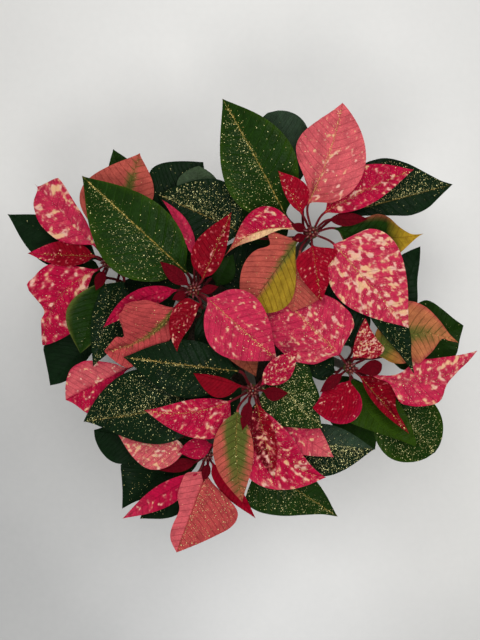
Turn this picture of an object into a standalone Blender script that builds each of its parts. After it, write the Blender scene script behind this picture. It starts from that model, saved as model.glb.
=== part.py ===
"""Potted poinsettia: pot, soil, a branched stem, six flower heads of coloured bracts, and green leaves.

Metres in Blender, +Z up, with the origin at the centre of the pot's base, on the surface that it stands on.
The sizes below are in millimetres, and every mesh is scaled by MM as it is made.
"""
import math

import bpy
import numpy as np

MM = 0.001
UP = np.array([0.0, 0.0, 1.0])
GAP = 0.3

POT_TOP_R = 65.0
POT_BASE_R = 49.0
POT_HEIGHT = 116.0
POT_WALL = 2.0
POT_FLOOR = 2.5
POT_RIM = 15.0
POT_RIM_STEP = 1.6
POT_CHAMFER = 1.5
DRAIN_HOLES = 6
DRAIN_R = 5.0
DRAIN_RING_R = 36.0

SOIL_TOP = 103.0
SOIL_MOUND = 3.0

TRUNK_BASE_R = 6.5
TRUNK_TOP_R = 5.5
TRUNK_FOOT = 60.0
TRUNK_TOP = 136.0
BRANCH_R = 4.3
STEM_R = 3.6
BRANCH_STATIONS = 10
CROTCH = 8.0
STALK = 28.0
STALK_R = 3.8
STALK_NECK = 9.0
RECEPTACLE = 3.0
RECEPTACLE_R = 5.4

PETIOLE_BRACT = 1.3
PETIOLE_LEAF = 1.6
BLADE_EDGE = 0.8
BLADE_MIDRIB = 1.5
LAYER_GAP = 2.4
ROOT_DEPTH = 4.5
ROOT_STEP = 0.31
CENTRE_R = 14.0

CUP_R = 1.7
CUP_HEIGHT = 6.0
CUP_RING_R = 2.2
CUPS = 5

# The top of each flower head's receptacle.
HEADS = {
    "A": (61, 81, 290),
    "B": (-39, 32, 300),
    "C": (-117, 58, 240),
    "D": (94, -34, 275),
    "E": (11, -53, 283),
    "F": (-29, -111, 245),
}

BLADES = {}


def blade(name, base, tip, left, right, kind="bract", **form):
    """Adds one leaf or bract to the table.

    base and tip are the ends of its blade, where the petiole meets it and where it is pointed. left and right
    are its half-widths, seen from above by one who looks from base to tip: a number for the plain ovate
    outline, or points (place along the midrib, half-width) for one with lobes. peak is where that outline is
    widest, and a larger tail draws its tip out. The rest bends it: arch lifts its middle, bow swings it to
    the left, hook lets its tip drop, fold lifts both margins (degrees), roll turns it right side down, twist
    adds to roll from base to tip, and wave ripples the margins. root is the height where its petiole leaves
    the stem, where the usual rise of a petiole would lead into a neighbour.
    """
    spec = dict(stem=name[0], base=np.array(base, float), tip=np.array(tip, float), left=left, right=right,
                kind=kind, peak=0.42, tail=1.2, arch=0, bow=0, hook=0, fold=8, roll=0, twist=0, wave=0,
                root=None)
    spec.update(form)
    spec["order"] = sum(other["stem"] == spec["stem"] for other in BLADES.values())
    BLADES[name] = spec


# Flower head A, upper right.
blade("A1", (58, 106, 292), (86, 189, 300),
      ((0, 2), (.1, 5), (.2, 12), (.35, 24), (.5, 29), (.62, 27), (.8, 16), (.92, 6), (1, 0)), 33,
      peak=.42, tail=1, bow=-3, arch=6, roll=-10)
blade("A2", (72, 98, 290), (148, 135, 282), 22, 13, bow=2, fold=15)
blade("A3", (76, 92, 286), (109, 93, 284), 6, 6)
blade("A4", (82, 85, 278), (160, 82, 258),
      ((0, 2), (.15, 10), (.3, 16), (.45, 20), (.6, 17), (.72, 9), (.85, 2), (1, 0)), 23, arch=8, tail=1.9,
      bow=-6)
blade("A5", (80, 71, 286), (146, 0, 262), 40, 28, peak=(.3, .38), tail=(1.1, 1.2), fold=5, roll=8)
blade("A6", (61, 69, 292), (69, 22, 284),
      ((0, 6), (.08, 17), (.16, 21), (.3, 15), (.42, 10), (.6, 10.5), (.78, 6), (1, 0)), 16, peak=.3)
blade("A7", (49, 75, 287), (5, 14, 272), 26,
      ((0, 2), (.06, 18), (.13, 24), (.22, 17), (.36, 24), (.5, 26), (.7, 22), (.88, 12), (1, 0)),
      peak=.62, tail=1)
blade("A8", (48, 84, 288), (-14, 60, 284), 6, 20, peak=(.5, .35), tail=2.5, bow=-10, twist=60)
blade("A9", (52, 97, 294), (32, 132, 300), 5, 15)
blade("A10", (51, 65, 284), (45, 14, 273), 24, 14, peak=.6)
blade("A11", (56, 83, 290), (43, 88, 290), 4, 4)
blade("A12", (55, 78, 289), (44, 75, 287), 4, 4)

# Flower head B, the middle and highest one.
blade("B1", (-31, 42, 302), (-7, 96, 318), 18, 9, peak=.35)
blade("B2", (-43.5, 36.5, 301), (-67, 56, 304), 7, 6)
blade("B3", (-45, 30, 299), (-57, 24, 300), 4, 4)
blade("B4", (-54, 32, 290), (-119, 0, 258), 10, 9, bow=-7)
blade("B5", (-27, 25, 301), (32, -28, 280), 28, 29, peak=(.36, .42), hook=4)
blade("B6", (-34, 20, 298), (-53, -20, 292), 9, 12, peak=(.42, .25), bow=-8)
blade("T3", (-56, 16, 288), (-118, -20, 264), ((0, 0), (.3, 15), (.6, 18), (.8, 19), (.9, 12), (1, 0)),
      ((0, 12), (.05, 20), (.15, 29), (.35, 34), (.49, 31), (.62, 25), (.67, 12), (.79, 11), (1, 0)),
      bow=8, roll=-18, stem="B")
blade("B8", (-33, 31, 299), (-18, 35, 300), 4, 4)
blade("B10", (-40, 62, 280), (-67, 110, 276), 8, 8, roll=50, bow=-5)
blade("B11", (-21, 15, 285), (14, -42, 266), 22, 14)

# Flower head C, the left one.
blade("C1", (-112, 75, 246), (-87, 152, 258), 40, 23, peak=(.42, .58), tail=(1.2, 1.35))
blade("C2", (-127, 72, 246), (-185, 130, 222),
      ((0, 0), (.3, 19), (.55, 22), (.74, 17.5), (.85, 11), (.92, 1.5), (1, 0)),
      ((0, 0), (.2, 8), (.5, 14), (.83, 19), (.9, 7), (.93, 1.2), (1, 0)), hook=6)
blade("C3", (-128, 63, 243), (-188, 66, 236), 10, 13)
blade("C4", (-127, 51, 237), (-179, -16, 206), 28,
      ((0, 2), (.13, 10), (.24, 22), (.32, 27), (.47, 29), (.57, 27), (.62, 12), (.78, 5), (1, 0)),
      peak=.6, tail=.8, bow=-12, arch=8)
blade("C5", (-120, 50, 243), (-127, 33, 241), 5, 5)

# Flower head D, the right one.
blade("D1", (84, -22, 278), (26, 37, 264),
      ((0, 7), (.05, 15), (.2, 28), (.4, 34), (.55, 34), (.75, 25), (.9, 12), (1, 0)),
      ((0, 15), (.06, 24), (.15, 30), (.35, 32), (.55, 27), (.75, 18), (.9, 8), (1, 0)), fold=-4, roll=-6)
blade("D2", (116, -41, 266), (210, -20, 236),
      ((0, 2), (.15, 5), (.24, 9.6), (.32, 16), (.39, 22), (.54, 19), (.73, 14.6), (.88, 7.5), (1, 0)),
      ((0, 2), (.15, 5), (.22, 17), (.3, 20), (.44, 21), (.54, 18), (.6, 10), (.74, 3), (.9, 1), (1, 0)),
      bow=-16, roll=-8)
blade("D3", (104, -42, 269), (147, -92, 258),
      ((0, 3), (.1, 10), (.25, 18), (.4, 20), (.5, 15), (.6, 8), (.7, 4.5), (.85, 2.5), (1, 0)), 6)
blade("D4", (94, -46, 272), (62, -68, 276), 26, ((0, 3), (.3, 10), (.55, 13), (.72, 9), (1, 0)), bow=5,
      fold=-12, peak=.4, tail=1.1)
blade("D5", (97, -25, 279), (106, 9, 288), 3,
      ((0, 5), (.08, 14), (.25, 22), (.42, 23), (.55, 16), (.75, 8), (1, 0)))
blade("D6", (87, -39, 276), (68, -55, 277), 5, 5)
blade("D7", (100, -37, 275), (122, -31, 272), 6, 8, peak=.65, tail=.7)
blade("T1", (115, -22, 264), (192, -13, 244),
      ((0, 3), (.12, 12), (.3, 23), (.47, 29), (.6, 24), (.75, 13), (.88, 4), (1, 0)),
      ((0, 6), (.1, 17), (.2, 22), (.38, 24), (.52, 27), (.65, 22), (.76, 13), (.82, 3), (.9, 2), (1, 0)),
      bow=13, stem="D")

# Flower head E, the lower middle one.
blade("T2", (-2, -70, 288), (2, -151, 262), 15, 20, bow=-3, stem="E")
blade("E2", (0, -49, 285), (-40, -38, 283), 15, 3)
blade("E3", (19, -47, 287), (49, -18, 290), 9, 13)
blade("E4", (20, -53, 284), (41, -55, 286), 4, 8)
blade("E5", (14, -64, 284), (30, -131, 264), 10, 12)
blade("E6", (22, -71, 262), (82, -113, 250), 18, 18)
blade("E7", (17, -67, 276), (75, -130, 256), 18, 34, bow=-16)
blade("E8", (8, -62, 285), (2, -87, 283), 5, 5)
blade("E9", (-9, -63, 272), (-83, -71, 262), 26, 11, peak=(.25, .42), bow=6)

# Flower head F, the lowest one in the view from above.
blade("F1", (-25, -102, 252), (-54, -108, 254), 10, 9)
blade("F2", (-47, -107, 244), (-111, -92, 226), 25, 10)
blade("F3", (-39, -118, 240), (-73, -126, 234), 6, 6)
blade("F4", (-39, -129, 241), (-106, -172, 214), 12, 9)
blade("F5", (-29, -126, 245), (-57, -202, 216),
      ((0, 0), (.1, 8), (.18, 22), (.25, 34), (.38, 40), (.51, 37), (.655, 27), (.845, 13), (1, 0)),
      ((0, 6), (.04, 12), (.19, 18), (.37, 17), (.53, 11), (.72, 12), (.89, 8.6), (1, 0)))
blade("F6", (-24, -119, 246), (14, -170, 226), 6, 10, peak=(.42, .35))
blade("F7", (-28, -119, 246), (-32, -135, 246), 4, 4)

# The pink leaf low on stem B, and the upper green leaves, by stem.
blade("P2", (-100, -36, 230), (-157, -65, 214),
      ((0, 0), (.25, 9), (.5, 16), (.76, 23), (.83, 17), (.92, 6), (1, 0)),
      ((0, 0), (.15, 10), (.3, 17), (.55, 24), (.79, 20), (.9, 12), (1, 0)), "leaf", stem="B", root=190)
blade("G1", (39, 97, 272), (-15, 195, 285), 34, 32, "leaf", stem="A", peak=(.35, .43), arch=14, fold=10,
      roll=-6)
blade("G2", (91, 100, 262), (185, 125, 256),
      ((0, 8), (.15, 28), (.33, 38), (.45, 37.5), (.65, 28), (.8, 15), (.91, 5.5), (1, 0)),
      ((0, 4), (.2, 8), (.4, 13), (.57, 17), (.73, 14.5), (.87, 7), (1, 0)), "leaf", stem="A")
blade("G3", (51, 125, 250), (24, 187, 258), 25, 27, "leaf", stem="A", peak=(.55, .62), tail=(.7, .55))
blade("G19", (2, 82, 268), (-73, 117, 260), 23, 34, "leaf", stem="A", peak=.4)
blade("G5", (114, 23, 264), (151, -40, 262),
      ((0, 8), (.2, 15), (.4, 18), (.64, 13), (.8, 6), (.92, 2), (1, 0)),
      ((0, 5), (.12, 8.5), (.26, 8), (.46, 5.5), (.65, 3), (1, 0)), "leaf", stem="A")
blade("G17", (-46, 48, 276), (-136, 131, 270), 41, 27, "leaf", stem="B", peak=.4, arch=12)
blade("G18", (-20, 37, 258), (-6, 64, 262), 10, 10, "leaf", stem="B")
blade("G20", (-39, 98, 256), (-36, 141, 257), 18, 19, "leaf", stem="B", peak=.6, tail=.9)
blade("G21", (-61, 90, 246), (-32, 145, 250),
      ((0, 8), (.15, 26), (.28, 34), (.42, 38), (.53, 38), (.7, 33), (.83, 22), (.93, 10), (1, 0)), 20,
      "leaf", stem="B")
blade("G24", (-102, 40, 247), (-130, -34, 236), 18,
      ((0, 9), (.08, 15), (.3, 18), (.5, 16), (.75, 9), (1, 0)), "leaf", stem="C")
blade("G16", (-128, 62, 224), (-211, 103, 205), 25, 18, "leaf", stem="C")
blade("G22", (-99, 113, 236), (-112, 158, 238), 12, 16, "leaf", stem="C")
blade("G23", (-121, 42, 238), (-142, -23, 230), 18, 23, "leaf", stem="C", peak=(.42, .5))
blade("G25", (-132, -9, 204), (-174, -53, 192), ((0, 6), (.4, 9), (.7, 9), (.85, 6), (1, 0)),
      ((0, 8), (.2, 18), (.45, 29), (.62, 29), (.76, 19), (.87, 10), (1, 0)), "leaf", stem="C", root=190)
blade("G4", (130, -6, 240), (159, 72, 240), 20,
      ((0, 10), (.15, 16), (.4, 15.5), (.62, 9), (.85, 4), (1, 0)), "leaf", stem="D", peak=.62, tail=1.1,
      wave=1.5, root=226)
blade("G6", (130, -24, 234), (200, 2, 222),
      ((0, 8), (.15, 18), (.34, 29), (.51, 33), (.65, 34), (.74, 30), (.82, 21), (.91, 9), (1, 0)),
      ((0, 10), (.08, 16), (.22, 20), (.43, 24), (.65, 25), (.8, 21), (.89, 10), (1, 0)), "leaf", stem="D",
      wave=2, root=206)
blade("G7", (118, -48, 240), (174, -111, 226), 28, 35, "leaf", stem="D", peak=(.6, .62), tail=(.7, .6))
blade("G8", (98, -45, 256), (155, -104, 246), 26,
      ((0, 6), (.08, 22), (.17, 31), (.3, 22), (.48, 11.5), (.65, 5), (.8, 1.5), (1, 0)), "leaf", stem="D",
      bow=-10, peak=.5, tail=.8)
blade("G9", (40, -99, 236), (119, -107, 238), 18, 29, "leaf", stem="E")
blade("G10", (26, -43, 268), (71, -86, 268),
      ((0, 10), (.12, 25), (.25, 31), (.44, 25), (.67, 18), (.88, 5), (1, 0)),
      ((0, 12), (.12, 23), (.3, 28), (.5, 26), (.75, 15), (.9, 7), (1, 0)), "leaf", stem="E")
blade("G11", (-25, -64, 244), (-140, -84, 222), 30, 39, "leaf", stem="E", peak=(.4, .5), tail=(1.5, 1),
      arch=12)
blade("G12", (-2, -37, 266), (-101, -25, 264), 29, 22, "leaf", stem="E", arch=8, fold=4, roll=-8)
blade("G26", (16, -122, 226), (88, -170, 214), 19,
      ((0, 20), (.06, 31), (.15, 36), (.3, 35), (.5, 27), (.7, 15), (.85, 6), (1, 0)), "leaf", stem="E")
blade("G27", (97, -16, 256), (66, 42, 252), 22,
      ((0, 10), (.1, 21), (.3, 27), (.5, 25), (.8, 12), (1, 0)), "leaf", stem="D")
blade("G28", (82, -38, 256), (40, -20, 250), 12, 20, "leaf", stem="D", peak=(.25, .4))
blade("G29", (1, -53, 264), (-50, -60, 250),
      ((0, 12), (.1, 20), (.3, 24), (.6, 17), (.85, 7), (1, 0)), 16, "leaf", stem="E")
blade("G30", (-52, 35, 258), (-112, 38, 226),
      ((0, 10), (.1, 20), (.25, 24), (.5, 20), (.8, 9), (1, 0)),
      ((0, 8), (.15, 14), (.5, 12), (.8, 6), (1, 0)), "leaf", stem="B")
blade("G31", (-24, 44, 244), (34, 68, 238), 22, 24, "leaf", stem="B")
blade("G32", (-32, 16, 260), (-2, -41, 246), 20, 20, "leaf", stem="B")
blade("G13", (-73, -102, 206), (-133, -93, 200), 27, 12, "leaf", stem="F", peak=(.55, .42), tail=(.7, 1.2))
blade("G14", (-62, -123, 208), (-108, -166, 192), ((0, 9), (.3, 12), (.6, 8), (.8, 3), (1, 0)),
      ((0, 12), (.2, 24), (.4, 31), (.54, 31), (.66, 23), (.81, 12), (1, 0)), "leaf", stem="F")
blade("G15", (-43, -141, 212), (-91, -174, 200), 16, 22, "leaf", stem="F")

# The lower leaves, which the canopy hides from above.
blade("H1", (28, 62, 170), (12, 146, 150), 24, 24, "leaf", stem="A", arch=8)
blade("H2", (66, 66, 176), (140, 28, 150), 20, 23, "leaf", stem="A", arch=8)
blade("H3", (70, -10, 170), (118, 46, 150), 22, 22, "leaf", stem="D", arch=8)
blade("H4", (86, -44, 172), (128, -116, 150), 24, 24, "leaf", stem="D", arch=8)
blade("H5", (16, -68, 172), (38, -148, 150), 25, 24, "leaf", stem="E", arch=8)
blade("H6", (-38, -98, 172), (-92, -148, 150), 22, 24, "leaf", stem="F", arch=8)
blade("H7", (-38, -74, 158), (-116, -62, 146), 22, 22, "leaf", stem="F", arch=8)
blade("H8", (-127, 46, 176), (-178, 40, 160), ((0, 12), (.15, 20), (.4, 22), (.7, 15), (1, 0)),
      ((0, 10), (.15, 18), (.4, 20), (.7, 13), (1, 0)), "leaf", stem="C", arch=4, root=164)
blade("H9", (-98, 74, 182), (-132, 130, 152), 22, 22, "leaf", stem="C", arch=8, root=172)
blade("H10", (-34, 44, 176), (-50, 128, 152), 23, 22, "leaf", stem="B", arch=8)
blade("H11", (-46, 8, 176), (-106, -30, 152), 20, 20, "leaf", stem="B", arch=8)

# What lies over what, from the top layer down.
LAYERS = """
B8 B3 D6 D5 D7 E4 E8 C5 F7 B6 B1 B2 A11 A12 A9 A8 A6 E3 E2 B5 A7 A10 A5 B11 D1 D4 G1 A1 A2 A3 A4 G5 T1
G4 D2 D3 G6 G17 B10 C1 G19 G20 G18 G21 G22 G2 G3 T2 E9 E5 E7 G10 E6 G12 T3 B4 G24 G27 G28 G29 G30 G31
G32 G23 C2 C3 C4 G16 G11 P2 G25 G8 G7 G9 F1 F2 F3 G13 F5 F6 F4 G26 G15 G14 H9 H8 H10 H2 H11 H4
H5 H6 H1 H3 H7
""".split()

# Stations along a blade: below 0 on the petiole, from 0 at its foot to 1 at its tip.
LEAF_ROWS = np.array([-1, -.45, 0, .12, .3, .5, .7, .88, 1])
HIDDEN_ROWS = np.array([-1, -.45, 0, .28, .65, 1])
BRACT_ROWS = np.array([-1, -.4, 0, .16, .36, .58, .8, 1])
SMALL_ROWS = np.array([-1, -.3, 0.05, .3, .65, 1])
WIDE = np.array([-1, -.5, 0, .5, 1])
NARROW = np.array([-1, 0, 1])
SMALL_WIDTH = 26


def unit(vectors):
    """Vectors scaled to length 1."""
    return vectors / np.maximum(np.linalg.norm(vectors, axis=-1, keepdims=True), 1e-9)


def side_of(value, side):
    """A value for the left (0) or right (1) side, where a pair gives one for each."""
    return value[side] if isinstance(value, tuple) else value


def through(points, u):
    """A smooth line through an outline's own points: cubic pieces, level where the points turn back."""
    at, width = np.array(points, float).T
    slope = np.gradient(width, at)
    step = np.diff(width) / np.diff(at)
    for k in range(1, len(at) - 1):
        if step[k - 1] * step[k] <= 0:
            slope[k] = 0
    slope[0], slope[-1] = step[0], step[-1]
    k = np.clip(np.searchsorted(at, u, side="right") - 1, 0, len(at) - 2)
    gap = at[k + 1] - at[k]
    t = (u - at[k]) / gap
    start = (1 + 2 * t) * (1 - t) ** 2 * width[k] + t * (1 - t) ** 2 * gap * slope[k]
    return start + t * t * (3 - 2 * t) * width[k + 1] + t * t * (t - 1) * gap * slope[k + 1]


def outline(spec, u, side):
    """Half-width at u on one side: (u/p)^a ((1-u)/(1-p))^c, widest at p, or a line through given points."""
    width = (spec["left"], spec["right"])[side]
    if isinstance(width, tuple):
        return np.maximum(through(width, u), 0)
    peak, tail = side_of(spec["peak"], side), side_of(spec["tail"], side)
    rise = tail * peak / (1 - peak)
    return width * (u / peak) ** rise * ((1 - u) / (1 - peak)) ** tail


def bezier(points, t):
    """A cubic Bezier curve through four control points, at the parameters t."""
    a, b, c, d = np.array(points, float)
    t = np.asarray(t, float)[:, None]
    return (1 - t) ** 3 * a + 3 * t * (1 - t) ** 2 * b + 3 * t * t * (1 - t) * c + t ** 3 * d


def branch(stem):
    """A branch's axis: from inside the trunk, out under its head and straight up to the flower stalk."""
    x, y, top = HEADS[stem]
    start = (0, 0, TRUNK_TOP - CROTCH)
    points = [start, (0.5 * x, 0.5 * y, TRUNK_TOP + 14), (x, y, TRUNK_TOP + 40), (x, y, top - STALK)]
    return bezier(points, np.linspace(0, 1, BRANCH_STATIONS))


def branch_radii():
    """A branch's radius at each of its stations."""
    return np.linspace(BRANCH_R, STEM_R, BRANCH_STATIONS)


def stalk_profile(top):
    """The flower stalk's heights and radii: a thin stalk that widens to the receptacle under the bracts."""
    heights = [top - STALK + GAP, top - STALK_NECK, top - RECEPTACLE, top]
    return heights, [STEM_R, STALK_R, RECEPTACLE_R, RECEPTACLE_R - 0.6]


def stem_at(stem, height):
    """The stem's axis, direction and radius at a height, on the branch or on the flower stalk above it."""
    x, y, top = HEADS[stem]
    if height >= top - STALK:
        heights, radii = stalk_profile(top)
        radius = max(np.interp([height - 2, height + 2], heights, radii))
        return np.array([x, y, height], float), UP, radius
    axis = branch(stem)
    k = int(np.searchsorted(axis[:, 2], height))
    step = axis[k] - axis[k - 1]
    centre = axis[k - 1] + step * (height - axis[k - 1, 2]) / step[2]
    return centre, unit(step), branch_radii()[k - 1]


def petiole(spec):
    """The four control points of a petiole, which leaves its stem squarely and turns into the midrib."""
    top = HEADS[spec["stem"]][2]
    base = spec["base"]
    if spec["kind"] == "bract":
        order = spec["order"]
        height = min(base[2] - 3, top - ROOT_DEPTH) - ROOT_STEP * order
        centre, along, _ = stem_at(spec["stem"], height)
        reach = 1.1 + 0.07 * order
    else:
        away = np.hypot(*(base[:2] - np.array(HEADS[spec["stem"]][:2])))
        height = spec["root"] if spec["root"] else base[2] - 6 - 0.35 * away
        centre, along, radius = stem_at(spec["stem"], height)
        reach = radius + GAP
    out = base - centre
    out = unit(out - along * np.dot(out, along))
    root = centre + out * reach
    length = np.linalg.norm(base - root)
    start = unit(midrib(spec, np.array([1e-3]))[0] - base)
    return root, root + out * 0.3 * length, base - start * 0.35 * length, base


def petiole_r(spec):
    """The radius of this blade's petiole."""
    return PETIOLE_BRACT if spec["kind"] == "bract" else PETIOLE_LEAF


def midrib(spec, u):
    """The line from base to tip, with a hump up for the arch and one sideways for the bow, and the hook."""
    base, tip = spec["base"], spec["tip"]
    right = unit(np.cross(tip - base, UP))
    u = u[:, None]
    hump = 4 * u * (1 - u)
    drop = spec["hook"] * np.maximum(0, (u - 0.6) / 0.4) ** 2
    return base + (tip - base) * u + (spec["arch"] * UP - spec["bow"] * right) * hump - drop * UP


def axis_line(spec, u):
    """The petiole for u from -1 to 0, then the midrib."""
    stalk = bezier(petiole(spec), np.clip(u + 1, 0, 1))
    return np.where(u[:, None] < 0, stalk, midrib(spec, np.clip(u, 0, 1)))


def blade_surface(spec, u, v):
    """The blade's middle surface on a grid: u along it, v across it from -1 (left) to 1 (right margin).

    Each cross-section lies square to the midrib. It is two straight wings that the fold lifts, turned about
    the midrib by roll and twist.
    """
    axis = axis_line(spec, u)
    tangent = unit(axis_line(spec, np.minimum(u + 1e-3, 1)) - axis_line(spec, np.maximum(u - 1e-3, -1)))
    chord = unit(np.cross(spec["tip"] - spec["base"], UP))
    right = unit(np.cross(tangent, UP) + 0.25 * chord)
    right = unit(right - tangent * np.sum(right * tangent, axis=-1, keepdims=True))
    normal = np.cross(right, tangent)
    along = np.clip(u, 0, 1)
    roll = np.radians(spec["roll"] + spec["twist"] * (along - 0.5)) * np.clip(u / 0.2 + 0.2, 0, 1)
    c, s = np.cos(roll)[:, None], np.sin(roll)[:, None]
    right, normal = right * c - normal * s, normal * c + right * s
    stalk = petiole_r(spec)
    widths = [np.maximum(outline(spec, along, side), stalk * (1 - along)) for side in (0, 1)]
    half = [np.where(u < 0, stalk, width) for width in widths]
    across = np.abs(v)[None, :] * np.where(v[None, :] < 0, half[0][:, None], half[1][:, None])
    fold = np.radians(spec["fold"]) * np.clip(u / 0.1, 0, 1)[:, None]
    ripple = spec["wave"] * np.abs(v)[None, :] ** 1.5 * np.sin(5 * math.pi * along)[:, None]
    sideways = np.sign(v)[None, :] * across * np.cos(fold)
    lift = across * np.sin(fold) + ripple
    return axis[:, None] + right[:, None] * sideways[..., None] + normal[:, None] * lift[..., None]


class Ceiling:
    """The lowest height, over each small square of the plan, of the blades laid so far."""

    CELL = 2.0
    SPAN = 260.0

    def __init__(self):
        side = int(2 * self.SPAN / self.CELL)
        self.height = np.full((side, side), 1e6)

    def squares(self, points):
        index = np.floor((points[..., :2] + self.SPAN) / self.CELL).astype(int)
        return index[..., 0], index[..., 1]

    def over(self, points):
        return self.height[self.squares(points)]

    def lay(self, points):
        """Lowers the ceiling to these points, and over the squares next to theirs."""
        field = np.full_like(self.height, 1e6)
        np.minimum.at(field, self.squares(points), points[..., 2])
        for dx in (-1, 0, 1):
            for dy in (-1, 0, 1):
                self.height = np.minimum(self.height, np.roll(field, (dx, dy), (0, 1)))


def finer(grid, steps):
    """A grid's bilinear surface at steps points per square, with each point's square."""
    rows = np.linspace(0, grid.shape[0] - 1, (grid.shape[0] - 1) * steps + 1)
    columns = np.linspace(0, grid.shape[1] - 1, (grid.shape[1] - 1) * steps + 1)
    i = np.minimum(rows.astype(int), grid.shape[0] - 2)
    j = np.minimum(columns.astype(int), grid.shape[1] - 2)
    fu, fv = (rows - i)[:, None, None], (columns - j)[None, :, None]
    near = grid[i][:, j] * (1 - fv) + grid[i][:, j + 1] * fv
    far = grid[i + 1][:, j] * (1 - fv) + grid[i + 1][:, j + 1] * fv
    return near * (1 - fu) + far * fu, i, j


def bend_clear(surfaces):
    """Bends each blade, from the top layer down, to pass under all those before it.

    Where a blade's surface would come closer than LAYER_GAP to what lies over it, the corners of that square
    of its grid go down by as much. The foot of the blade keeps its height. The bracts of one head meet within
    CENTRE_R of its middle, so there they push nothing down.
    """
    ceiling = Ceiling()
    for name in LAYERS:
        first = int(np.argmax(rows_of(name) >= 0))
        grid = surfaces[name][first:]
        points, i, j = finer(grid, 6)
        need = np.maximum(0, points[..., 2] + LAYER_GAP - ceiling.over(points))
        along = np.linspace(0, 1, len(i))
        need *= np.clip(along / 0.18, 0, 1)[:, None]
        push = np.zeros(grid.shape[:2])
        for du in (0, 1):
            for dv in (0, 1):
                np.maximum.at(push, (i[:, None] + du, j[None, :] + dv), need)
        push[0] = 0
        grid[..., 2] -= push
        points, _, _ = finer(grid, 8)
        points = points.reshape(-1, 3)
        if BLADES[name]["kind"] == "bract":
            x, y, _ = HEADS[BLADES[name]["stem"]]
            points = points[np.hypot(points[:, 0] - x, points[:, 1] - y) >= CENTRE_R]
        ceiling.lay(points)


def rows_of(name):
    """The stations along this blade: fewer on a small one."""
    spec = BLADES[name]
    if spec["kind"] == "leaf":
        return HIDDEN_ROWS if name[0] == "H" else LEAF_ROWS
    return SMALL_ROWS if is_small(spec) else BRACT_ROWS


def columns_of(name):
    """The stations across this blade."""
    return NARROW if is_small(BLADES[name]) else WIDE


def is_small(spec):
    """True for the narrow young bracts, whose cross-section needs only three points."""
    plain = not isinstance(spec["left"], tuple) and not isinstance(spec["right"], tuple)
    return plain and spec["kind"] == "bract" and spec["left"] + spec["right"] <= SMALL_WIDTH


def mesh_object(name, points, faces):
    """A new object of these points, in millimetres, and faces."""
    mesh = bpy.data.meshes.new(name)
    mesh.from_pydata([tuple(p) for p in np.asarray(points) * MM], [], faces)
    mesh.update()
    item = bpy.data.objects.new(name, mesh)
    bpy.context.scene.collection.objects.link(item)
    return item


def slab(name, spec, surface, u, v):
    """A closed solid of the blade: its surface thickened, with a cap at the root and an edge at the tip."""
    down = np.gradient(surface, axis=0)
    root, ahead, _, _ = petiole(spec)
    down[0] = ahead - root
    across = np.gradient(surface, axis=1)
    normal = unit(np.cross(across, down))
    normal[-1] = unit(normal[-2].mean(axis=0))
    stalk = 2 * petiole_r(spec)
    rib = BLADE_MIDRIB + (stalk - BLADE_MIDRIB) * np.clip(1 - u / 0.3, 0, 1)
    rib = np.where(u < 0, stalk, rib)
    rib = np.where(u > 0.5, BLADE_EDGE + (BLADE_MIDRIB - BLADE_EDGE) * (1 - u) * 2, rib)
    thick = BLADE_EDGE + (rib[:, None] - BLADE_EDGE) * (1 - np.abs(v)[None, :] ** 1.5)
    top = surface + normal * thick[..., None] / 2
    bottom = surface - normal * thick[..., None] / 2
    rows, n = len(u) - 1, len(v)
    points = [p for k in range(rows) for p in list(top[k]) + list(bottom[k])]
    points += [top[rows, n // 2], bottom[rows, n // 2]]
    tip_top, tip_bottom = len(points) - 2, len(points) - 1
    faces = []
    for k in range(rows - 1):
        here, there = 2 * n * k, 2 * n * (k + 1)
        for j in range(n - 1):
            a, b, c, d = here + j, here + j + 1, there + j + 1, there + j
            faces += [(a, b, c), (a, c, d)]
            a, b, c, d = a + n, b + n, c + n, d + n
            faces += [(a, c, b), (a, d, c)]
        faces += [(here, there, there + n), (here, there + n, here + n)]
        a, b = here + n - 1, there + n - 1
        faces += [(a, a + n, b + n), (a, b + n, b)]
    last = 2 * n * (rows - 1)
    for j in range(n - 1):
        faces += [(last + j, last + j + 1, tip_top), (last + n + j + 1, last + n + j, tip_bottom)]
    faces += [(last, tip_top, tip_bottom), (last, tip_bottom, last + n)]
    right = last + n - 1
    faces += [(right, right + n, tip_bottom), (right, tip_bottom, tip_top)]
    ring = list(range(n)) + list(range(2 * n - 1, n - 1, -1))
    faces.append(tuple(reversed(ring)))
    return mesh_object(name, points, faces)


def lathe(name, profile, sides, height=None):
    """A solid of revolution of the closed profile (radius, z), which starts and ends on the axis.

    height(x, y, z), where given, raises the points of the profile's soft top.
    """
    turn = np.arange(sides) * 2 * math.pi / sides
    points, rings = [], []
    for r, z in profile:
        if r == 0:
            rings.append([len(points)] * sides)
            points.append((0, 0, z))
            continue
        rings.append(list(range(len(points), len(points) + sides)))
        for a in turn:
            x, y = r * math.cos(a), r * math.sin(a)
            points.append((x, y, z + (height(x, y, z) if height else 0)))
    faces = []
    for lower, upper in zip(rings, rings[1:]):
        for k in range(sides):
            corners = (lower[k], lower[(k + 1) % sides], upper[(k + 1) % sides], upper[k])
            corners = tuple(dict.fromkeys(corners))
            faces.append(corners)
    return mesh_object(name, points, faces)


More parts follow.
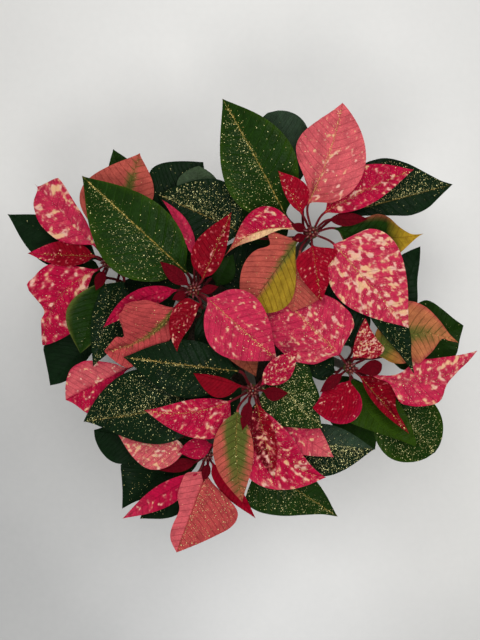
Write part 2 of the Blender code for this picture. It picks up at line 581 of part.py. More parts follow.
def tube(name, axis, radii, sides=8):
    """A tube along the points of its axis, with a radius at each, a flat foot and a level top."""
    axis = np.asarray(axis, float)
    tangent = unit(np.gradient(axis, axis=0))
    tangent[-1] = UP
    side = unit(np.cross(tangent, (0.31, 0.95, 0.05)))
    other = np.cross(tangent, side)
    turn = np.arange(sides) * 2 * math.pi / sides
    ring = side[:, None] * np.cos(turn)[None, :, None] + other[:, None] * np.sin(turn)[None, :, None]
    points = (axis[:, None] + ring * np.asarray(radii, float)[:, None, None]).reshape(-1, 3)
    faces = []
    for k in range(len(axis) - 1):
        for j in range(sides):
            a, b = k * sides + j, k * sides + (j + 1) % sides
            faces.append((a, b, b + sides, a + sides))
    faces.append(tuple(range(sides - 1, -1, -1)))
    faces.append(tuple(range((len(axis) - 1) * sides, len(axis) * sides)))
    return mesh_object(name, points, faces)


def fuse(pieces):
    """Joins crossing solids to the first one, as one body, and returns it."""
    body, others = pieces[0], bpy.data.collections.new("pieces")
    bpy.context.scene.collection.children.link(others)
    for piece in pieces[1:]:
        bpy.context.scene.collection.objects.unlink(piece)
        others.objects.link(piece)
    union = body.modifiers.new("union", "BOOLEAN")
    union.operation = "UNION"
    union.operand_type = "COLLECTION"
    union.collection = others
    union.solver = "EXACT"
    joined = bpy.data.meshes.new_from_object(body.evaluated_get(bpy.context.evaluated_depsgraph_get()))
    body.modifiers.clear()
    body.data = joined
    joined.name = body.name
    for piece in list(others.objects):
        bpy.data.objects.remove(piece)
    bpy.data.collections.remove(others)
    return body


def bore(body, cutters):
    """Cuts the cutters out of the body."""
    for cutter in cutters:
        cut = body.modifiers.new("cut", "BOOLEAN")
        cut.operation = "DIFFERENCE"
        cut.object = cutter
        cut.solver = "EXACT"
    drilled = bpy.data.meshes.new_from_object(body.evaluated_get(bpy.context.evaluated_depsgraph_get()))
    body.modifiers.clear()
    body.data = drilled
    for cutter in cutters:
        bpy.data.objects.remove(cutter)


def finish(item, colour, roughness, smooth=True):
    """Gives a piece its own material and shading."""
    material = bpy.data.materials.new(item.name)
    material.use_nodes = True
    shader = material.node_tree.nodes["Principled BSDF"]
    shader.inputs["Base Color"].default_value = (*colour, 1)
    shader.inputs["Roughness"].default_value = roughness
    item.data.materials.clear()
    item.data.materials.append(material)
    if smooth:
        item.data.shade_smooth()
        item.data.set_sharp_from_angle(angle=math.radians(35))


def pot_wall_r(z):
    """The pot's outer radius at a height, under its rim."""
    return POT_BASE_R + (POT_TOP_R - POT_RIM_STEP - POT_BASE_R) * z / POT_HEIGHT


def make_pot():
    """A plain nursery pot: a tapered wall with a thicker rim band, and drain holes round its floor."""
    rim = POT_HEIGHT - POT_RIM
    inside = pot_wall_r(POT_FLOOR) - POT_WALL
    profile = [(0, 0), (POT_BASE_R - POT_CHAMFER, 0), (pot_wall_r(POT_CHAMFER), POT_CHAMFER),
               (pot_wall_r(rim), rim), (POT_TOP_R - 0.6, rim), (POT_TOP_R, rim + 1.2),
               (POT_TOP_R, POT_HEIGHT - 1), (POT_TOP_R - 1, POT_HEIGHT),
               (pot_wall_r(POT_HEIGHT) - POT_WALL, POT_HEIGHT), (pot_wall_r(rim) - POT_WALL, rim),
               (inside, POT_FLOOR), (0, POT_FLOOR)]
    pot = lathe("pot", profile, 36)
    cutters = []
    for k in range(DRAIN_HOLES):
        angle = 2 * math.pi * k / DRAIN_HOLES
        x, y = DRAIN_RING_R * math.cos(angle), DRAIN_RING_R * math.sin(angle)
        cutters.append(tube(f"drain_{k}", [(x, y, -2), (x, y, POT_FLOOR + 2)], [DRAIN_R] * 2))
    bore(pot, cutters)
    finish(pot, (0.19, 0.075, 0.045), 0.55)


def make_soil():
    """The potting soil: it fills the pot to under its rim, and has a plain hole for the trunk."""
    hole = TRUNK_BASE_R + GAP
    floor = POT_FLOOR + GAP
    edge = [(pot_wall_r(z) - POT_WALL - GAP, z) for z in (floor, SOIL_TOP - 2)]
    mound = [(r, SOIL_TOP + SOIL_MOUND * (1 - r / POT_TOP_R)) for r in (54, 42, 30, 19)]
    well = [(hole, SOIL_TOP + SOIL_MOUND), (hole, TRUNK_FOOT), (0, TRUNK_FOOT)]
    profile = [(0, floor)] + edge + mound + well

    def lumps(x, y, z):
        """Clods: two crossed ripples on the open top."""
        on_top = z > SOIL_TOP - 1 and math.hypot(x, y) > hole + 1
        return 1.1 * math.sin(0.31 * x + 0.9) * math.cos(0.27 * y) + 0.7 * math.sin(0.5 * y) if on_top else 0

    finish(lathe("soil", profile, 28, lumps), (0.035, 0.022, 0.014), 0.95, smooth=False)


def make_stems():
    """The woody trunk and its six branches, each to just under its flower stalk."""
    heights = [TRUNK_FOOT + GAP, SOIL_TOP + SOIL_MOUND, 122, TRUNK_TOP - 4, TRUNK_TOP]
    radii = [TRUNK_BASE_R, TRUNK_BASE_R, 5.9, TRUNK_TOP_R, 3.6]
    pieces = [tube("stems", [(0, 0, z) for z in heights], radii, 12)]
    for stem in HEADS:
        pieces.append(tube(f"branch_{stem}", branch(stem), branch_radii()))
    finish(fuse(pieces), (0.13, 0.11, 0.045), 0.7)


def make_bloom(stem, surfaces):
    """One flower head: the top of its stalk, widened to the receptacle, with its bracts grown on."""
    x, y, top = HEADS[stem]
    heights, radii = stalk_profile(top)
    pieces = [tube(f"bracts_{stem}", [(x, y, z) for z in heights], radii)]
    for name, spec in BLADES.items():
        if spec["kind"] == "bract" and spec["stem"] == stem:
            pieces.append(slab(name, spec, surfaces[name], rows_of(name), columns_of(name)))
    finish(fuse(pieces), (0.62, 0.03, 0.07), 0.5)


def make_cyathia(stem):
    """The little bud cups in the middle of a head, on their common cushion."""
    x, y, top = HEADS[stem]
    foot = top + GAP
    pieces = [tube(f"cyathia_{stem}", [(x, y, foot), (x, y, foot + 1.6)], [3.6, 2.6])]
    for k in range(CUPS):
        angle = 2 * math.pi * k / CUPS + math.radians(x + y)
        cx, cy = x + CUP_RING_R * math.cos(angle), y + CUP_RING_R * math.sin(angle)
        height = CUP_HEIGHT * (1 - 0.12 * (k % 3))
        heights = [foot + 0.6, foot + 0.35 * height, foot + 0.8 * height, foot + height]
        pieces.append(tube("cup", [(cx, cy, z) for z in heights], [0.9, CUP_R, 0.8 * CUP_R, 0.5], 6))
    finish(fuse(pieces), (0.16, 0.13, 0.03), 0.45)


def make_leaf(name, surfaces):
    """One leaf with its petiole, whose end lies against its stem."""
    leaf = slab(f"leaf_{name}", BLADES[name], surfaces[name], rows_of(name), columns_of(name))
    finish(leaf, (0.6, 0.13, 0.16) if name == "P2" else (0.02, 0.065, 0.022), 0.45)


def main():
    for item in list(bpy.data.objects):
        bpy.data.objects.remove(item)
    surfaces = {}
    for name, spec in BLADES.items():
        surfaces[name] = blade_surface(spec, rows_of(name), columns_of(name))
    bend_clear(surfaces)
    make_pot()
    make_soil()
    make_stems()
    for stem in HEADS:
        make_bloom(stem, surfaces)
        make_cyathia(stem)
    for name, spec in BLADES.items():
        if spec["kind"] == "leaf":
            make_leaf(name, surfaces)


main()
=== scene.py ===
# %% [markdown]
# # A potted poinsettia
#
# The real object is a bushy house plant in a nursery pot, photographed from straight above. Six flower heads
# of coloured bracts lie over dark green leaves, and both are sprinkled with glitter. Bracts are leaves too,
# so one family of surfaces serves for them all.
#
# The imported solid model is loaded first, as a fixed frame. The finer pieces below replace its nodes one by
# one and keep their places. Lengths are in millimetres until a mesh is made.

# %% Load the frame
import math

import bpy
import numpy as np
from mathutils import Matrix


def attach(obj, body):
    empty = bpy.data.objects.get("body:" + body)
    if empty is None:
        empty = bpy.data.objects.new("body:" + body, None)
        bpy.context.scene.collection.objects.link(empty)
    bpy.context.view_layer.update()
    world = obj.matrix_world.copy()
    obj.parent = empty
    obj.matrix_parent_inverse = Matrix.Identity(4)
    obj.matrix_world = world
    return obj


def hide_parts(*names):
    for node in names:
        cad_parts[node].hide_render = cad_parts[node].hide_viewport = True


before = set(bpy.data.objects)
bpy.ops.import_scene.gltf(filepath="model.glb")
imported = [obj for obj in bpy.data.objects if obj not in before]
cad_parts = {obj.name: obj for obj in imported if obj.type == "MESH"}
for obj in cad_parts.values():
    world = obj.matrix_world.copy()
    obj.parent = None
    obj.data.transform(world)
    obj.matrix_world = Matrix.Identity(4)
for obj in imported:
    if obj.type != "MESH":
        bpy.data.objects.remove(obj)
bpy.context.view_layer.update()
MM = 0.001
UP = np.array([0.0, 0.0, 1.0])
print("nodes of the solid model:", len(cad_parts))

# %% [markdown]
# ## The camera
#
# The photo looks straight down on the plant. A camera 1.45 m above the floor with a lens of 77 mm sees the
# canopy as large as the photo does, and the near leaves a little larger than the far ones. A camera with no
# turn at all already looks down, with +Y up in the picture.

# %% Camera
CAMERA_HEIGHT = 1.45
CAMERA_SHIFT_Y = 0.007
LENS = 77.2
SENSOR = 36.0
camera = bpy.data.objects.new("camera", bpy.data.cameras.new("camera"))
camera.data.lens = LENS
camera.data.sensor_width = SENSOR
camera.location = (0, CAMERA_SHIFT_Y, CAMERA_HEIGHT)
bpy.context.scene.collection.objects.link(camera)
bpy.context.scene.camera = camera
bpy.context.scene.view_settings.view_transform = "Standard"
print("the camera sees", round(SENSOR / LENS * CAMERA_HEIGHT, 3), "m of floor from top to bottom")

# %% [markdown]
# ## The light
#
# The photo was taken in soft, even light: the shadows under the leaves fade out before they reach the floor's
# lit parts. A pale surrounding light does most of that, and two large soft boxes above give the leaves their
# faint sheen. Each box is an area light, because a larger area makes a softer edge.

# %% Light
CANOPY = (0, 0, 0.2)


def soft_box(name, place, size, power):
    """A square area light at a place in metres, turned about Y and then about Z to face the canopy."""
    lamp = bpy.data.objects.new(name, bpy.data.lights.new(name, "AREA"))
    lamp.data.size = size
    lamp.data.energy = power
    lamp.location = place
    away = np.subtract(place, CANOPY)
    turn_y = math.atan2(math.hypot(away[0], away[1]), away[2])
    turn_z = math.atan2(away[1], away[0])
    lamp.rotation_euler = (0, turn_y, turn_z)
    bpy.context.scene.collection.objects.link(lamp)
    return lamp


surroundings = bpy.data.worlds.new("surroundings")
surroundings.use_nodes = True
glow = surroundings.node_tree.nodes["Background"]
glow.inputs["Color"].default_value = (0.96, 0.98, 1.0, 1)
glow.inputs["Strength"].default_value = 0.38
bpy.context.scene.world = surroundings
key = soft_box("key", (0.1, 0.6, 2.5), 1.4, 37)
fill = soft_box("fill", (0.05, -0.76, 2.35), 0.6, 20)
print("lights:", key.name, fill.name)

# %% [markdown]
# ## Writing shaders as expressions
#
# A finish is a tree of nodes, and most of its nodes are sums and products. The first class below wraps one
# socket of such a tree, so that `1 - mask * 0.5` in Python adds the Math nodes for it. Any other node
# comes from one method that takes its type, its settings and what goes into its sockets.

# %% Sockets
class Socket:
    """One output of a finish's nodes, with the operators of arithmetic."""

    def __init__(self, finish, socket):
        self.finish = finish
        self.socket = socket

    def math(self, operation, first, second=0.0):
        """Adds the Math node that works out one operation on two numbers or sockets."""
        return self.finish.node("ShaderNodeMath", {"operation": operation}, {0: first, 1: second})

    def __add__(self, other):
        return self.math("ADD", self, other)

    __radd__ = __add__

    def __sub__(self, other):
        return self.math("SUBTRACT", self, other)

    def __rsub__(self, other):
        return self.math("SUBTRACT", other, self)

    def __mul__(self, other):
        return self.math("MULTIPLY", self, other)

    __rmul__ = __mul__

    def size(self):
        """The number without its sign."""
        return self.math("ABSOLUTE", self)

    def fraction(self):
        """What the number has above the whole number below it."""
        return self.math("FRACT", self)

    def ramp(self, low, high):
        """0 up to low and 1 from high on, with soft ends between: 3t^2 - 2t^3."""
        settings = {"interpolation_type": "SMOOTHSTEP"}
        return self.finish.node("ShaderNodeMapRange", settings, {0: self, 1: low, 2: high})


print("sockets can be added, subtracted and multiplied")


# %% Finishes
class Finish:
    """A material whose nodes are written as expressions."""

    def __init__(self, name, roughness=0.5):
        self.material = bpy.data.materials.new(name)
        self.material.use_nodes = True
        self.tree = self.material.node_tree
        self.skin = self.tree.nodes["Principled BSDF"]
        self.skin.inputs["Roughness"].default_value = roughness

    def feed(self, target, value):
        """Gives an input socket a value, or a link from another node."""
        if isinstance(value, Socket):
            self.tree.links.new(value.socket, target)
        else:
            target.default_value = value

    def node(self, kind, settings, values, output=0):
        """Adds a node: its settings first, then the values or links of its sockets, and returns an output."""
        made = self.tree.nodes.new(kind)
        for setting, value in settings.items():
            setattr(made, setting, value)
        for socket, value in values.items():
            self.feed(made.inputs[socket], value)
        return Socket(self, made.outputs[output])

    def mix(self, share, first, second, blend="MIX"):
        """A colour between two, or the product of both with blend MULTIPLY."""
        settings = {"data_type": "RGBA", "blend_type": blend, "clamp_factor": True}
        return self.node("ShaderNodeMix", settings, {0: share, 6: first, 7: second}, 2)

    def attribute(self, name, output="Vector"):
        """The numbers that the mesh stores on its points under this name."""
        return self.node("ShaderNodeAttribute", {"attribute_name": name}, {}, output)

    def parts(self, vector):
        """The three numbers of a vector."""
        split = self.node("ShaderNodeSeparateXYZ", {}, {0: vector})
        return [Socket(self, out) for out in split.socket.node.outputs]

    def noise(self, vector, scale, detail=2.0, roughness=0.5):
        """Cloudy noise from 0 to 1."""
        values = {"Vector": vector, "Scale": scale, "Detail": detail, "Roughness": roughness}
        return self.node("ShaderNodeTexNoise", {}, values)

    def cells(self, vector, scale, feature="F1"):
        """The distance to the nearest of many scattered points, or to the edge between two of their cells."""
        return self.node("ShaderNodeTexVoronoi", {"feature": feature}, {"Vector": vector, "Scale": scale})

    def place(self):
        """The piece's own coordinates, in metres."""
        return self.node("ShaderNodeTexCoord", {}, {}, "Object")

    def bump(self, height, distance, strength=1.0):
        """Tilts the surface's normal by a height from 0 to 1, times a distance in metres."""
        values = {"Height": height, "Distance": distance, "Strength": strength}
        self.set("Normal", self.node("ShaderNodeBump", {}, values))

    def set(self, name, value):
        """Feeds one of the surface's own inputs."""
        self.feed(self.skin.inputs[name], value)


print("shader helpers are ready")

# %% [markdown]
# ## The floor
#
# Under the pot lies a plain pale floor. It is one large flat sheet. A faint cloudiness in its grey keeps it
# from looking like paper, and a painted shade darkens its grey towards its lower left corner, where less
# light falls in the photo.

# %% Meshes from arrays
def grid_faces(rows, columns):
    """The corner numbers of a grid's squares, for points numbered row by row."""
    corner = np.arange(rows - 1)[:, None] * columns + np.arange(columns - 1)[None, :]
    corner = corner.reshape(-1, 1)
    return np.hstack([corner, corner + 1, corner + columns + 1, corner + columns])


def new_piece(name, points, faces, finishes, smooth=True):
    """An object of points in millimetres and faces given as arrays of corner numbers."""
    mesh = bpy.data.meshes.new(name)
    every_face = [face for block in faces for face in block.tolist()]
    mesh.from_pydata((np.asarray(points) * MM).tolist(), [], every_face)
    for finish in finishes:
        mesh.materials.append(finish.material)
    if smooth:
        mesh.shade_smooth()
        mesh.set_sharp_from_angle(angle=math.radians(55))
    item = bpy.data.objects.new(name, mesh)
    bpy.context.scene.collection.objects.link(item)
    return item


print("a grid of 3 by 4 points has", len(grid_faces(3, 4)), "squares")

# %% Floor
FLOOR_SIDE = 3200.0
FLOOR_POINTS = 9
DIM_GREY = (0.33, 0.33, 0.325, 1)
PALE_GREY = (0.6, 0.59, 0.565, 1)
pale_floor = Finish("pale floor", 0.3)
clouds = pale_floor.noise(pale_floor.place(), 5.0, 4.0)
grain = pale_floor.noise(pale_floor.place(), 140.0, 2.0)
floor_x, floor_y, _ = pale_floor.parts(pale_floor.place())
# Painted shade: the grey darkens towards the lower left corner, where less light falls.
painted_shade = (floor_y * -0.9 - floor_x * 0.7 + 0.06).ramp(0, 0.5)
floor_tone = (1 - painted_shade) * 0.8 + clouds.ramp(0.3, 0.7) * 0.15 + grain * 0.1
pale_floor.set("Base Color", pale_floor.mix(floor_tone, DIM_GREY, PALE_GREY))
side = np.linspace(-FLOOR_SIDE / 2, FLOOR_SIDE / 2, FLOOR_POINTS)
floor_x_y = np.meshgrid(side, side)
floor_points = np.stack(floor_x_y + [np.zeros_like(floor_x_y[0])], axis=-1).reshape(-1, 3)
floor = new_piece("floor", floor_points, [grid_faces(FLOOR_POINTS, FLOOR_POINTS)], [pale_floor])
print("floor:", FLOOR_SIDE, "mm square")

# %% [markdown]
# ## The table of leaves
#
# Every leaf and bract was measured in the photo: where its blade starts and ends, how wide each half is, and
# how it bends. The table is the same one as in the solid model, so that a fine blade lies where its node is.
# The heights were estimated from what covers what.

# %% Heads and the table's columns
HEADS = {
    "A": (61, 81, 290),
    "B": (-39, 32, 300),
    "C": (-117, 58, 240),
    "D": (94, -34, 275),
    "E": (11, -53, 283),
    "F": (-29, -111, 245),
}
BLADES = {}


def blade(name, base, tip, left, right, kind="bract", **form):
    """Adds one leaf or bract to the table.

    base and tip are the ends of its blade. left and right are its half-widths, seen from above by one who
    looks from base to tip: a number for the plain ovate outline, or points (place along the midrib,
    half-width) for one with lobes. peak is where that outline is widest, and a larger tail draws its tip out.
    arch lifts its middle, bow swings it to the left, hook lets its tip drop, fold lifts both margins
    (degrees), roll turns it right side down, twist adds to roll from base to tip, and wave ripples the
    margins. root is the height where its petiole leaves the stem, if that isn't the usual one.
    """
    spec = dict(stem=name[0], base=np.array(base, float), tip=np.array(tip, float), left=left, right=right,
                kind=kind, peak=0.42, tail=1.2, arch=0, bow=0, hook=0, fold=8, roll=0, twist=0, wave=0,
                root=None)
    spec.update(form)
    spec["order"] = sum(other["stem"] == spec["stem"] for other in BLADES.values())
    spec["length"] = float(np.linalg.norm(spec["tip"] - spec["base"]))
    BLADES[name] = spec


print("flower heads:", ", ".join(HEADS))

# %% Flower head A, upper right
blade("A1", (58, 106, 292), (86, 189, 300),
      ((0, 2), (.1, 5), (.2, 12), (.35, 24), (.5, 29), (.62, 27), (.8, 16), (.92, 6), (1, 0)), 33,
      peak=.42, tail=1, bow=-3, arch=6, roll=-10)
blade("A2", (72, 98, 290), (148, 135, 282), 22, 13, bow=2, fold=15)
blade("A3", (76, 92, 286), (109, 93, 284), 6, 6)
blade("A4", (82, 85, 278), (160, 82, 258),
      ((0, 2), (.15, 10), (.3, 16), (.45, 20), (.6, 17), (.72, 9), (.85, 2), (1, 0)), 23, arch=8, tail=1.9,
      bow=-6)
blade("A5", (80, 71, 286), (146, 0, 262), 40, 28, peak=(.3, .38), tail=(1.1, 1.2), fold=5, roll=8)
blade("A6", (61, 69, 292), (69, 22, 284),
      ((0, 6), (.08, 17), (.16, 21), (.3, 15), (.42, 10), (.6, 10.5), (.78, 6), (1, 0)), 16, peak=.3)
blade("A7", (49, 75, 287), (5, 14, 272), 26,
      ((0, 2), (.06, 18), (.13, 24), (.22, 17), (.36, 24), (.5, 26), (.7, 22), (.88, 12), (1, 0)),
      peak=.62, tail=1)
blade("A8", (48, 84, 288), (-14, 60, 284), 6, 20, peak=(.5, .35), tail=2.5, bow=-10, twist=60)
blade("A9", (52, 97, 294), (32, 132, 300), 5, 15)
blade("A10", (51, 65, 284), (45, 14, 273), 24, 14, peak=.6)
blade("A11", (56, 83, 290), (43, 88, 290), 4, 4)
blade("A12", (55, 78, 289), (44, 75, 287), 4, 4)
print("bracts so far:", len(BLADES))

# %% Flower head B, the middle and highest one
blade("B1", (-31, 42, 302), (-7, 96, 318), 18, 9, peak=.35)
blade("B2", (-43.5, 36.5, 301), (-67, 56, 304), 7, 6)
blade("B3", (-45, 30, 299), (-57, 24, 300), 4, 4)
blade("B4", (-54, 32, 290), (-119, 0, 258), 10, 9, bow=-7)
blade("B5", (-27, 25, 301), (32, -28, 280), 28, 29, peak=(.36, .42), hook=4)
blade("B6", (-34, 20, 298), (-53, -20, 292), 9, 12, peak=(.42, .25), bow=-8)
blade("T3", (-56, 16, 288), (-118, -20, 264), ((0, 0), (.3, 15), (.6, 18), (.8, 19), (.9, 12), (1, 0)),
      ((0, 12), (.05, 20), (.15, 29), (.35, 34), (.49, 31), (.62, 25), (.67, 12), (.79, 11), (1, 0)),
      bow=8, roll=-18, stem="B")
blade("B8", (-33, 31, 299), (-18, 35, 300), 4, 4)
blade("B10", (-40, 62, 280), (-67, 110, 276), 8, 8, roll=50, bow=-5)
blade("B11", (-21, 15, 285), (14, -42, 266), 22, 14)
print("bracts so far:", len(BLADES))

# %% Flower head C, the left one
blade("C1", (-112, 75, 246), (-87, 152, 258), 40, 23, peak=(.42, .58), tail=(1.2, 1.35))
blade("C2", (-127, 72, 246), (-185, 130, 222),
      ((0, 0), (.3, 19), (.55, 22), (.74, 17.5), (.85, 11), (.92, 1.5), (1, 0)),
      ((0, 0), (.2, 8), (.5, 14), (.83, 19), (.9, 7), (.93, 1.2), (1, 0)), hook=6)
blade("C3", (-128, 63, 243), (-188, 66, 236), 10, 13)
blade("C4", (-127, 51, 237), (-179, -16, 206), 28,
      ((0, 2), (.13, 10), (.24, 22), (.32, 27), (.47, 29), (.57, 27), (.62, 12), (.78, 5), (1, 0)),
      peak=.6, tail=.8, bow=-12, arch=8)
blade("C5", (-120, 50, 243), (-127, 33, 241), 5, 5)
print("bracts so far:", len(BLADES))

# %% Flower head D, the right one
blade("D1", (84, -22, 278), (26, 37, 264),
      ((0, 7), (.05, 15), (.2, 28), (.4, 34), (.55, 34), (.75, 25), (.9, 12), (1, 0)),
      ((0, 15), (.06, 24), (.15, 30), (.35, 32), (.55, 27), (.75, 18), (.9, 8), (1, 0)), fold=-4, roll=-6)
blade("D2", (116, -41, 266), (210, -20, 236),
      ((0, 2), (.15, 5), (.24, 9.6), (.32, 16), (.39, 22), (.54, 19), (.73, 14.6), (.88, 7.5), (1, 0)),
      ((0, 2), (.15, 5), (.22, 17), (.3, 20), (.44, 21), (.54, 18), (.6, 10), (.74, 3), (.9, 1), (1, 0)),
      bow=-16, roll=-8)
blade("D3", (104, -42, 269), (147, -92, 258),
      ((0, 3), (.1, 10), (.25, 18), (.4, 20), (.5, 15), (.6, 8), (.7, 4.5), (.85, 2.5), (1, 0)), 6)
blade("D4", (94, -46, 272), (62, -68, 276), 26, ((0, 3), (.3, 10), (.55, 13), (.72, 9), (1, 0)), bow=5,
      fold=-12, peak=.4, tail=1.1)
blade("D5", (97, -25, 279), (106, 9, 288), 3,
      ((0, 5), (.08, 14), (.25, 22), (.42, 23), (.55, 16), (.75, 8), (1, 0)))
blade("D6", (87, -39, 276), (68, -55, 277), 5, 5)
blade("D7", (100, -37, 275), (122, -31, 272), 6, 8, peak=.65, tail=.7)
blade("T1", (115, -22, 264), (192, -13, 244),
      ((0, 3), (.12, 12), (.3, 23), (.47, 29), (.6, 24), (.75, 13), (.88, 4), (1, 0)),
      ((0, 6), (.1, 17), (.2, 22), (.38, 24), (.52, 27), (.65, 22), (.76, 13), (.82, 3), (.9, 2), (1, 0)),
      bow=13, stem="D")
print("bracts so far:", len(BLADES))

# %% Flower head E, the lower middle one
blade("T2", (-2, -70, 288), (2, -151, 262), 15, 20, bow=-3, stem="E")
blade("E2", (0, -49, 285), (-40, -38, 283), 15, 3)
blade("E3", (19, -47, 287), (49, -18, 290), 9, 13)
blade("E4", (20, -53, 284), (41, -55, 286), 4, 8)
blade("E5", (14, -64, 284), (30, -131, 264), 10, 12)
blade("E6", (22, -71, 262), (82, -113, 250), 18, 18)
blade("E7", (17, -67, 276), (75, -130, 256), 18, 34, bow=-16)
blade("E8", (8, -62, 285), (2, -87, 283), 5, 5)
blade("E9", (-9, -63, 272), (-83, -71, 262), 26, 11, peak=(.25, .42), bow=6)
print("bracts so far:", len(BLADES))

# %% Flower head F, the lowest one
blade("F1", (-25, -102, 252), (-54, -108, 254), 10, 9)
blade("F2", (-47, -107, 244), (-111, -92, 226), 25, 10)
blade("F3", (-39, -118, 240), (-73, -126, 234), 6, 6)
blade("F4", (-39, -129, 241), (-106, -172, 214), 12, 9)
blade("F5", (-29, -126, 245), (-57, -202, 216),
      ((0, 0), (.1, 8), (.18, 22), (.25, 34), (.38, 40), (.51, 37), (.655, 27), (.845, 13), (1, 0)),
      ((0, 6), (.04, 12), (.19, 18), (.37, 17), (.53, 11), (.72, 12), (.89, 8.6), (1, 0)))
blade("F6", (-24, -119, 246), (14, -170, 226), 6, 10, peak=(.42, .35))
blade("F7", (-28, -119, 246), (-32, -135, 246), 4, 4)
print("bracts so far:", len(BLADES))

# %% The pink leaf, and the upper green leaves by stem
blade("P2", (-100, -36, 230), (-157, -65, 214),
      ((0, 0), (.25, 9), (.5, 16), (.76, 23), (.83, 17), (.92, 6), (1, 0)),
      ((0, 0), (.15, 10), (.3, 17), (.55, 24), (.79, 20), (.9, 12), (1, 0)), "leaf", stem="B", root=190)
blade("G1", (39, 97, 272), (-15, 195, 285), 34, 32, "leaf", stem="A", peak=(.35, .43), arch=14, fold=10,
      roll=-6)
blade("G2", (91, 100, 262), (185, 125, 256),
      ((0, 8), (.15, 28), (.33, 38), (.45, 37.5), (.65, 28), (.8, 15), (.91, 5.5), (1, 0)),
      ((0, 4), (.2, 8), (.4, 13), (.57, 17), (.73, 14.5), (.87, 7), (1, 0)), "leaf", stem="A")
blade("G3", (51, 125, 250), (24, 187, 258), 25, 27, "leaf", stem="A", peak=(.55, .62), tail=(.7, .55))
blade("G19", (2, 82, 268), (-73, 117, 260), 23, 34, "leaf", stem="A", peak=.4)
blade("G5", (114, 23, 264), (151, -40, 262),
      ((0, 8), (.2, 15), (.4, 18), (.64, 13), (.8, 6), (.92, 2), (1, 0)),
      ((0, 5), (.12, 8.5), (.26, 8), (.46, 5.5), (.65, 3), (1, 0)), "leaf", stem="A")
blade("G17", (-46, 48, 276), (-136, 131, 270), 41, 27, "leaf", stem="B", peak=.4, arch=12)
blade("G18", (-20, 37, 258), (-6, 64, 262), 10, 10, "leaf", stem="B")
blade("G20", (-39, 98, 256), (-36, 141, 257), 18, 19, "leaf", stem="B", peak=.6, tail=.9)
blade("G21", (-61, 90, 246), (-32, 145, 250),
      ((0, 8), (.15, 26), (.28, 34), (.42, 38), (.53, 38), (.7, 33), (.83, 22), (.93, 10), (1, 0)), 20,
      "leaf", stem="B")
blade("G24", (-102, 40, 247), (-130, -34, 236), 18,
      ((0, 9), (.08, 15), (.3, 18), (.5, 16), (.75, 9), (1, 0)), "leaf", stem="C")
blade("G16", (-128, 62, 224), (-211, 103, 205), 25, 18, "leaf", stem="C")
blade("G22", (-99, 113, 236), (-112, 158, 238), 12, 16, "leaf", stem="C")
blade("G23", (-121, 42, 238), (-142, -23, 230), 18, 23, "leaf", stem="C", peak=(.42, .5))
blade("G25", (-132, -9, 204), (-174, -53, 192), ((0, 6), (.4, 9), (.7, 9), (.85, 6), (1, 0)),
      ((0, 8), (.2, 18), (.45, 29), (.62, 29), (.76, 19), (.87, 10), (1, 0)), "leaf", stem="C", root=190)
blade("G4", (130, -6, 240), (159, 72, 240), 20,
      ((0, 10), (.15, 16), (.4, 15.5), (.62, 9), (.85, 4), (1, 0)), "leaf", stem="D", peak=.62, tail=1.1,
      wave=1.5, root=226)
blade("G6", (130, -24, 234), (200, 2, 222),
      ((0, 8), (.15, 18), (.34, 29), (.51, 33), (.65, 34), (.74, 30), (.82, 21), (.91, 9), (1, 0)),
      ((0, 10), (.08, 16), (.22, 20), (.43, 24), (.65, 25), (.8, 21), (.89, 10), (1, 0)), "leaf", stem="D",
      wave=2, root=206)
blade("G7", (118, -48, 240), (174, -111, 226), 28, 35, "leaf", stem="D", peak=(.6, .62), tail=(.7, .6))
blade("G8", (98, -45, 256), (155, -104, 246), 26,
      ((0, 6), (.08, 22), (.17, 31), (.3, 22), (.48, 11.5), (.65, 5), (.8, 1.5), (1, 0)), "leaf", stem="D",
      bow=-10, peak=.5, tail=.8)
blade("G9", (40, -99, 236), (119, -107, 238), 18, 29, "leaf", stem="E")
blade("G10", (26, -43, 268), (71, -86, 268),
      ((0, 10), (.12, 25), (.25, 31), (.44, 25), (.67, 18), (.88, 5), (1, 0)),
      ((0, 12), (.12, 23), (.3, 28), (.5, 26), (.75, 15), (.9, 7), (1, 0)), "leaf", stem="E")
blade("G11", (-25, -64, 244), (-140, -84, 222), 30, 39, "leaf", stem="E", peak=(.4, .5), tail=(1.5, 1),
      arch=12)
blade("G12", (-2, -37, 266), (-101, -25, 264), 29, 22, "leaf", stem="E", arch=8, fold=4, roll=-8)
blade("G26", (16, -122, 226), (88, -170, 214), 19,
      ((0, 20), (.06, 31), (.15, 36), (.3, 35), (.5, 27), (.7, 15), (.85, 6), (1, 0)), "leaf", stem="E")
blade("G27", (97, -16, 256), (66, 42, 252), 22,
      ((0, 10), (.1, 21), (.3, 27), (.5, 25), (.8, 12), (1, 0)), "leaf", stem="D")
blade("G28", (82, -38, 256), (40, -20, 250), 12, 20, "leaf", stem="D", peak=(.25, .4))
blade("G29", (1, -53, 264), (-50, -60, 250),
      ((0, 12), (.1, 20), (.3, 24), (.6, 17), (.85, 7), (1, 0)), 16, "leaf", stem="E")
blade("G30", (-52, 35, 258), (-112, 38, 226),
      ((0, 10), (.1, 20), (.25, 24), (.5, 20), (.8, 9), (1, 0)),
      ((0, 8), (.15, 14), (.5, 12), (.8, 6), (1, 0)), "leaf", stem="B")
blade("G31", (-24, 44, 244), (34, 68, 238), 22, 24, "leaf", stem="B")
blade("G32", (-32, 16, 260), (-2, -41, 246), 20, 20, "leaf", stem="B")
blade("G13", (-73, -102, 206), (-133, -93, 200), 27, 12, "leaf", stem="F", peak=(.55, .42), tail=(.7, 1.2))
blade("G14", (-62, -123, 208), (-108, -166, 192), ((0, 9), (.3, 12), (.6, 8), (.8, 3), (1, 0)),
      ((0, 12), (.2, 24), (.4, 31), (.54, 31), (.66, 23), (.81, 12), (1, 0)), "leaf", stem="F")
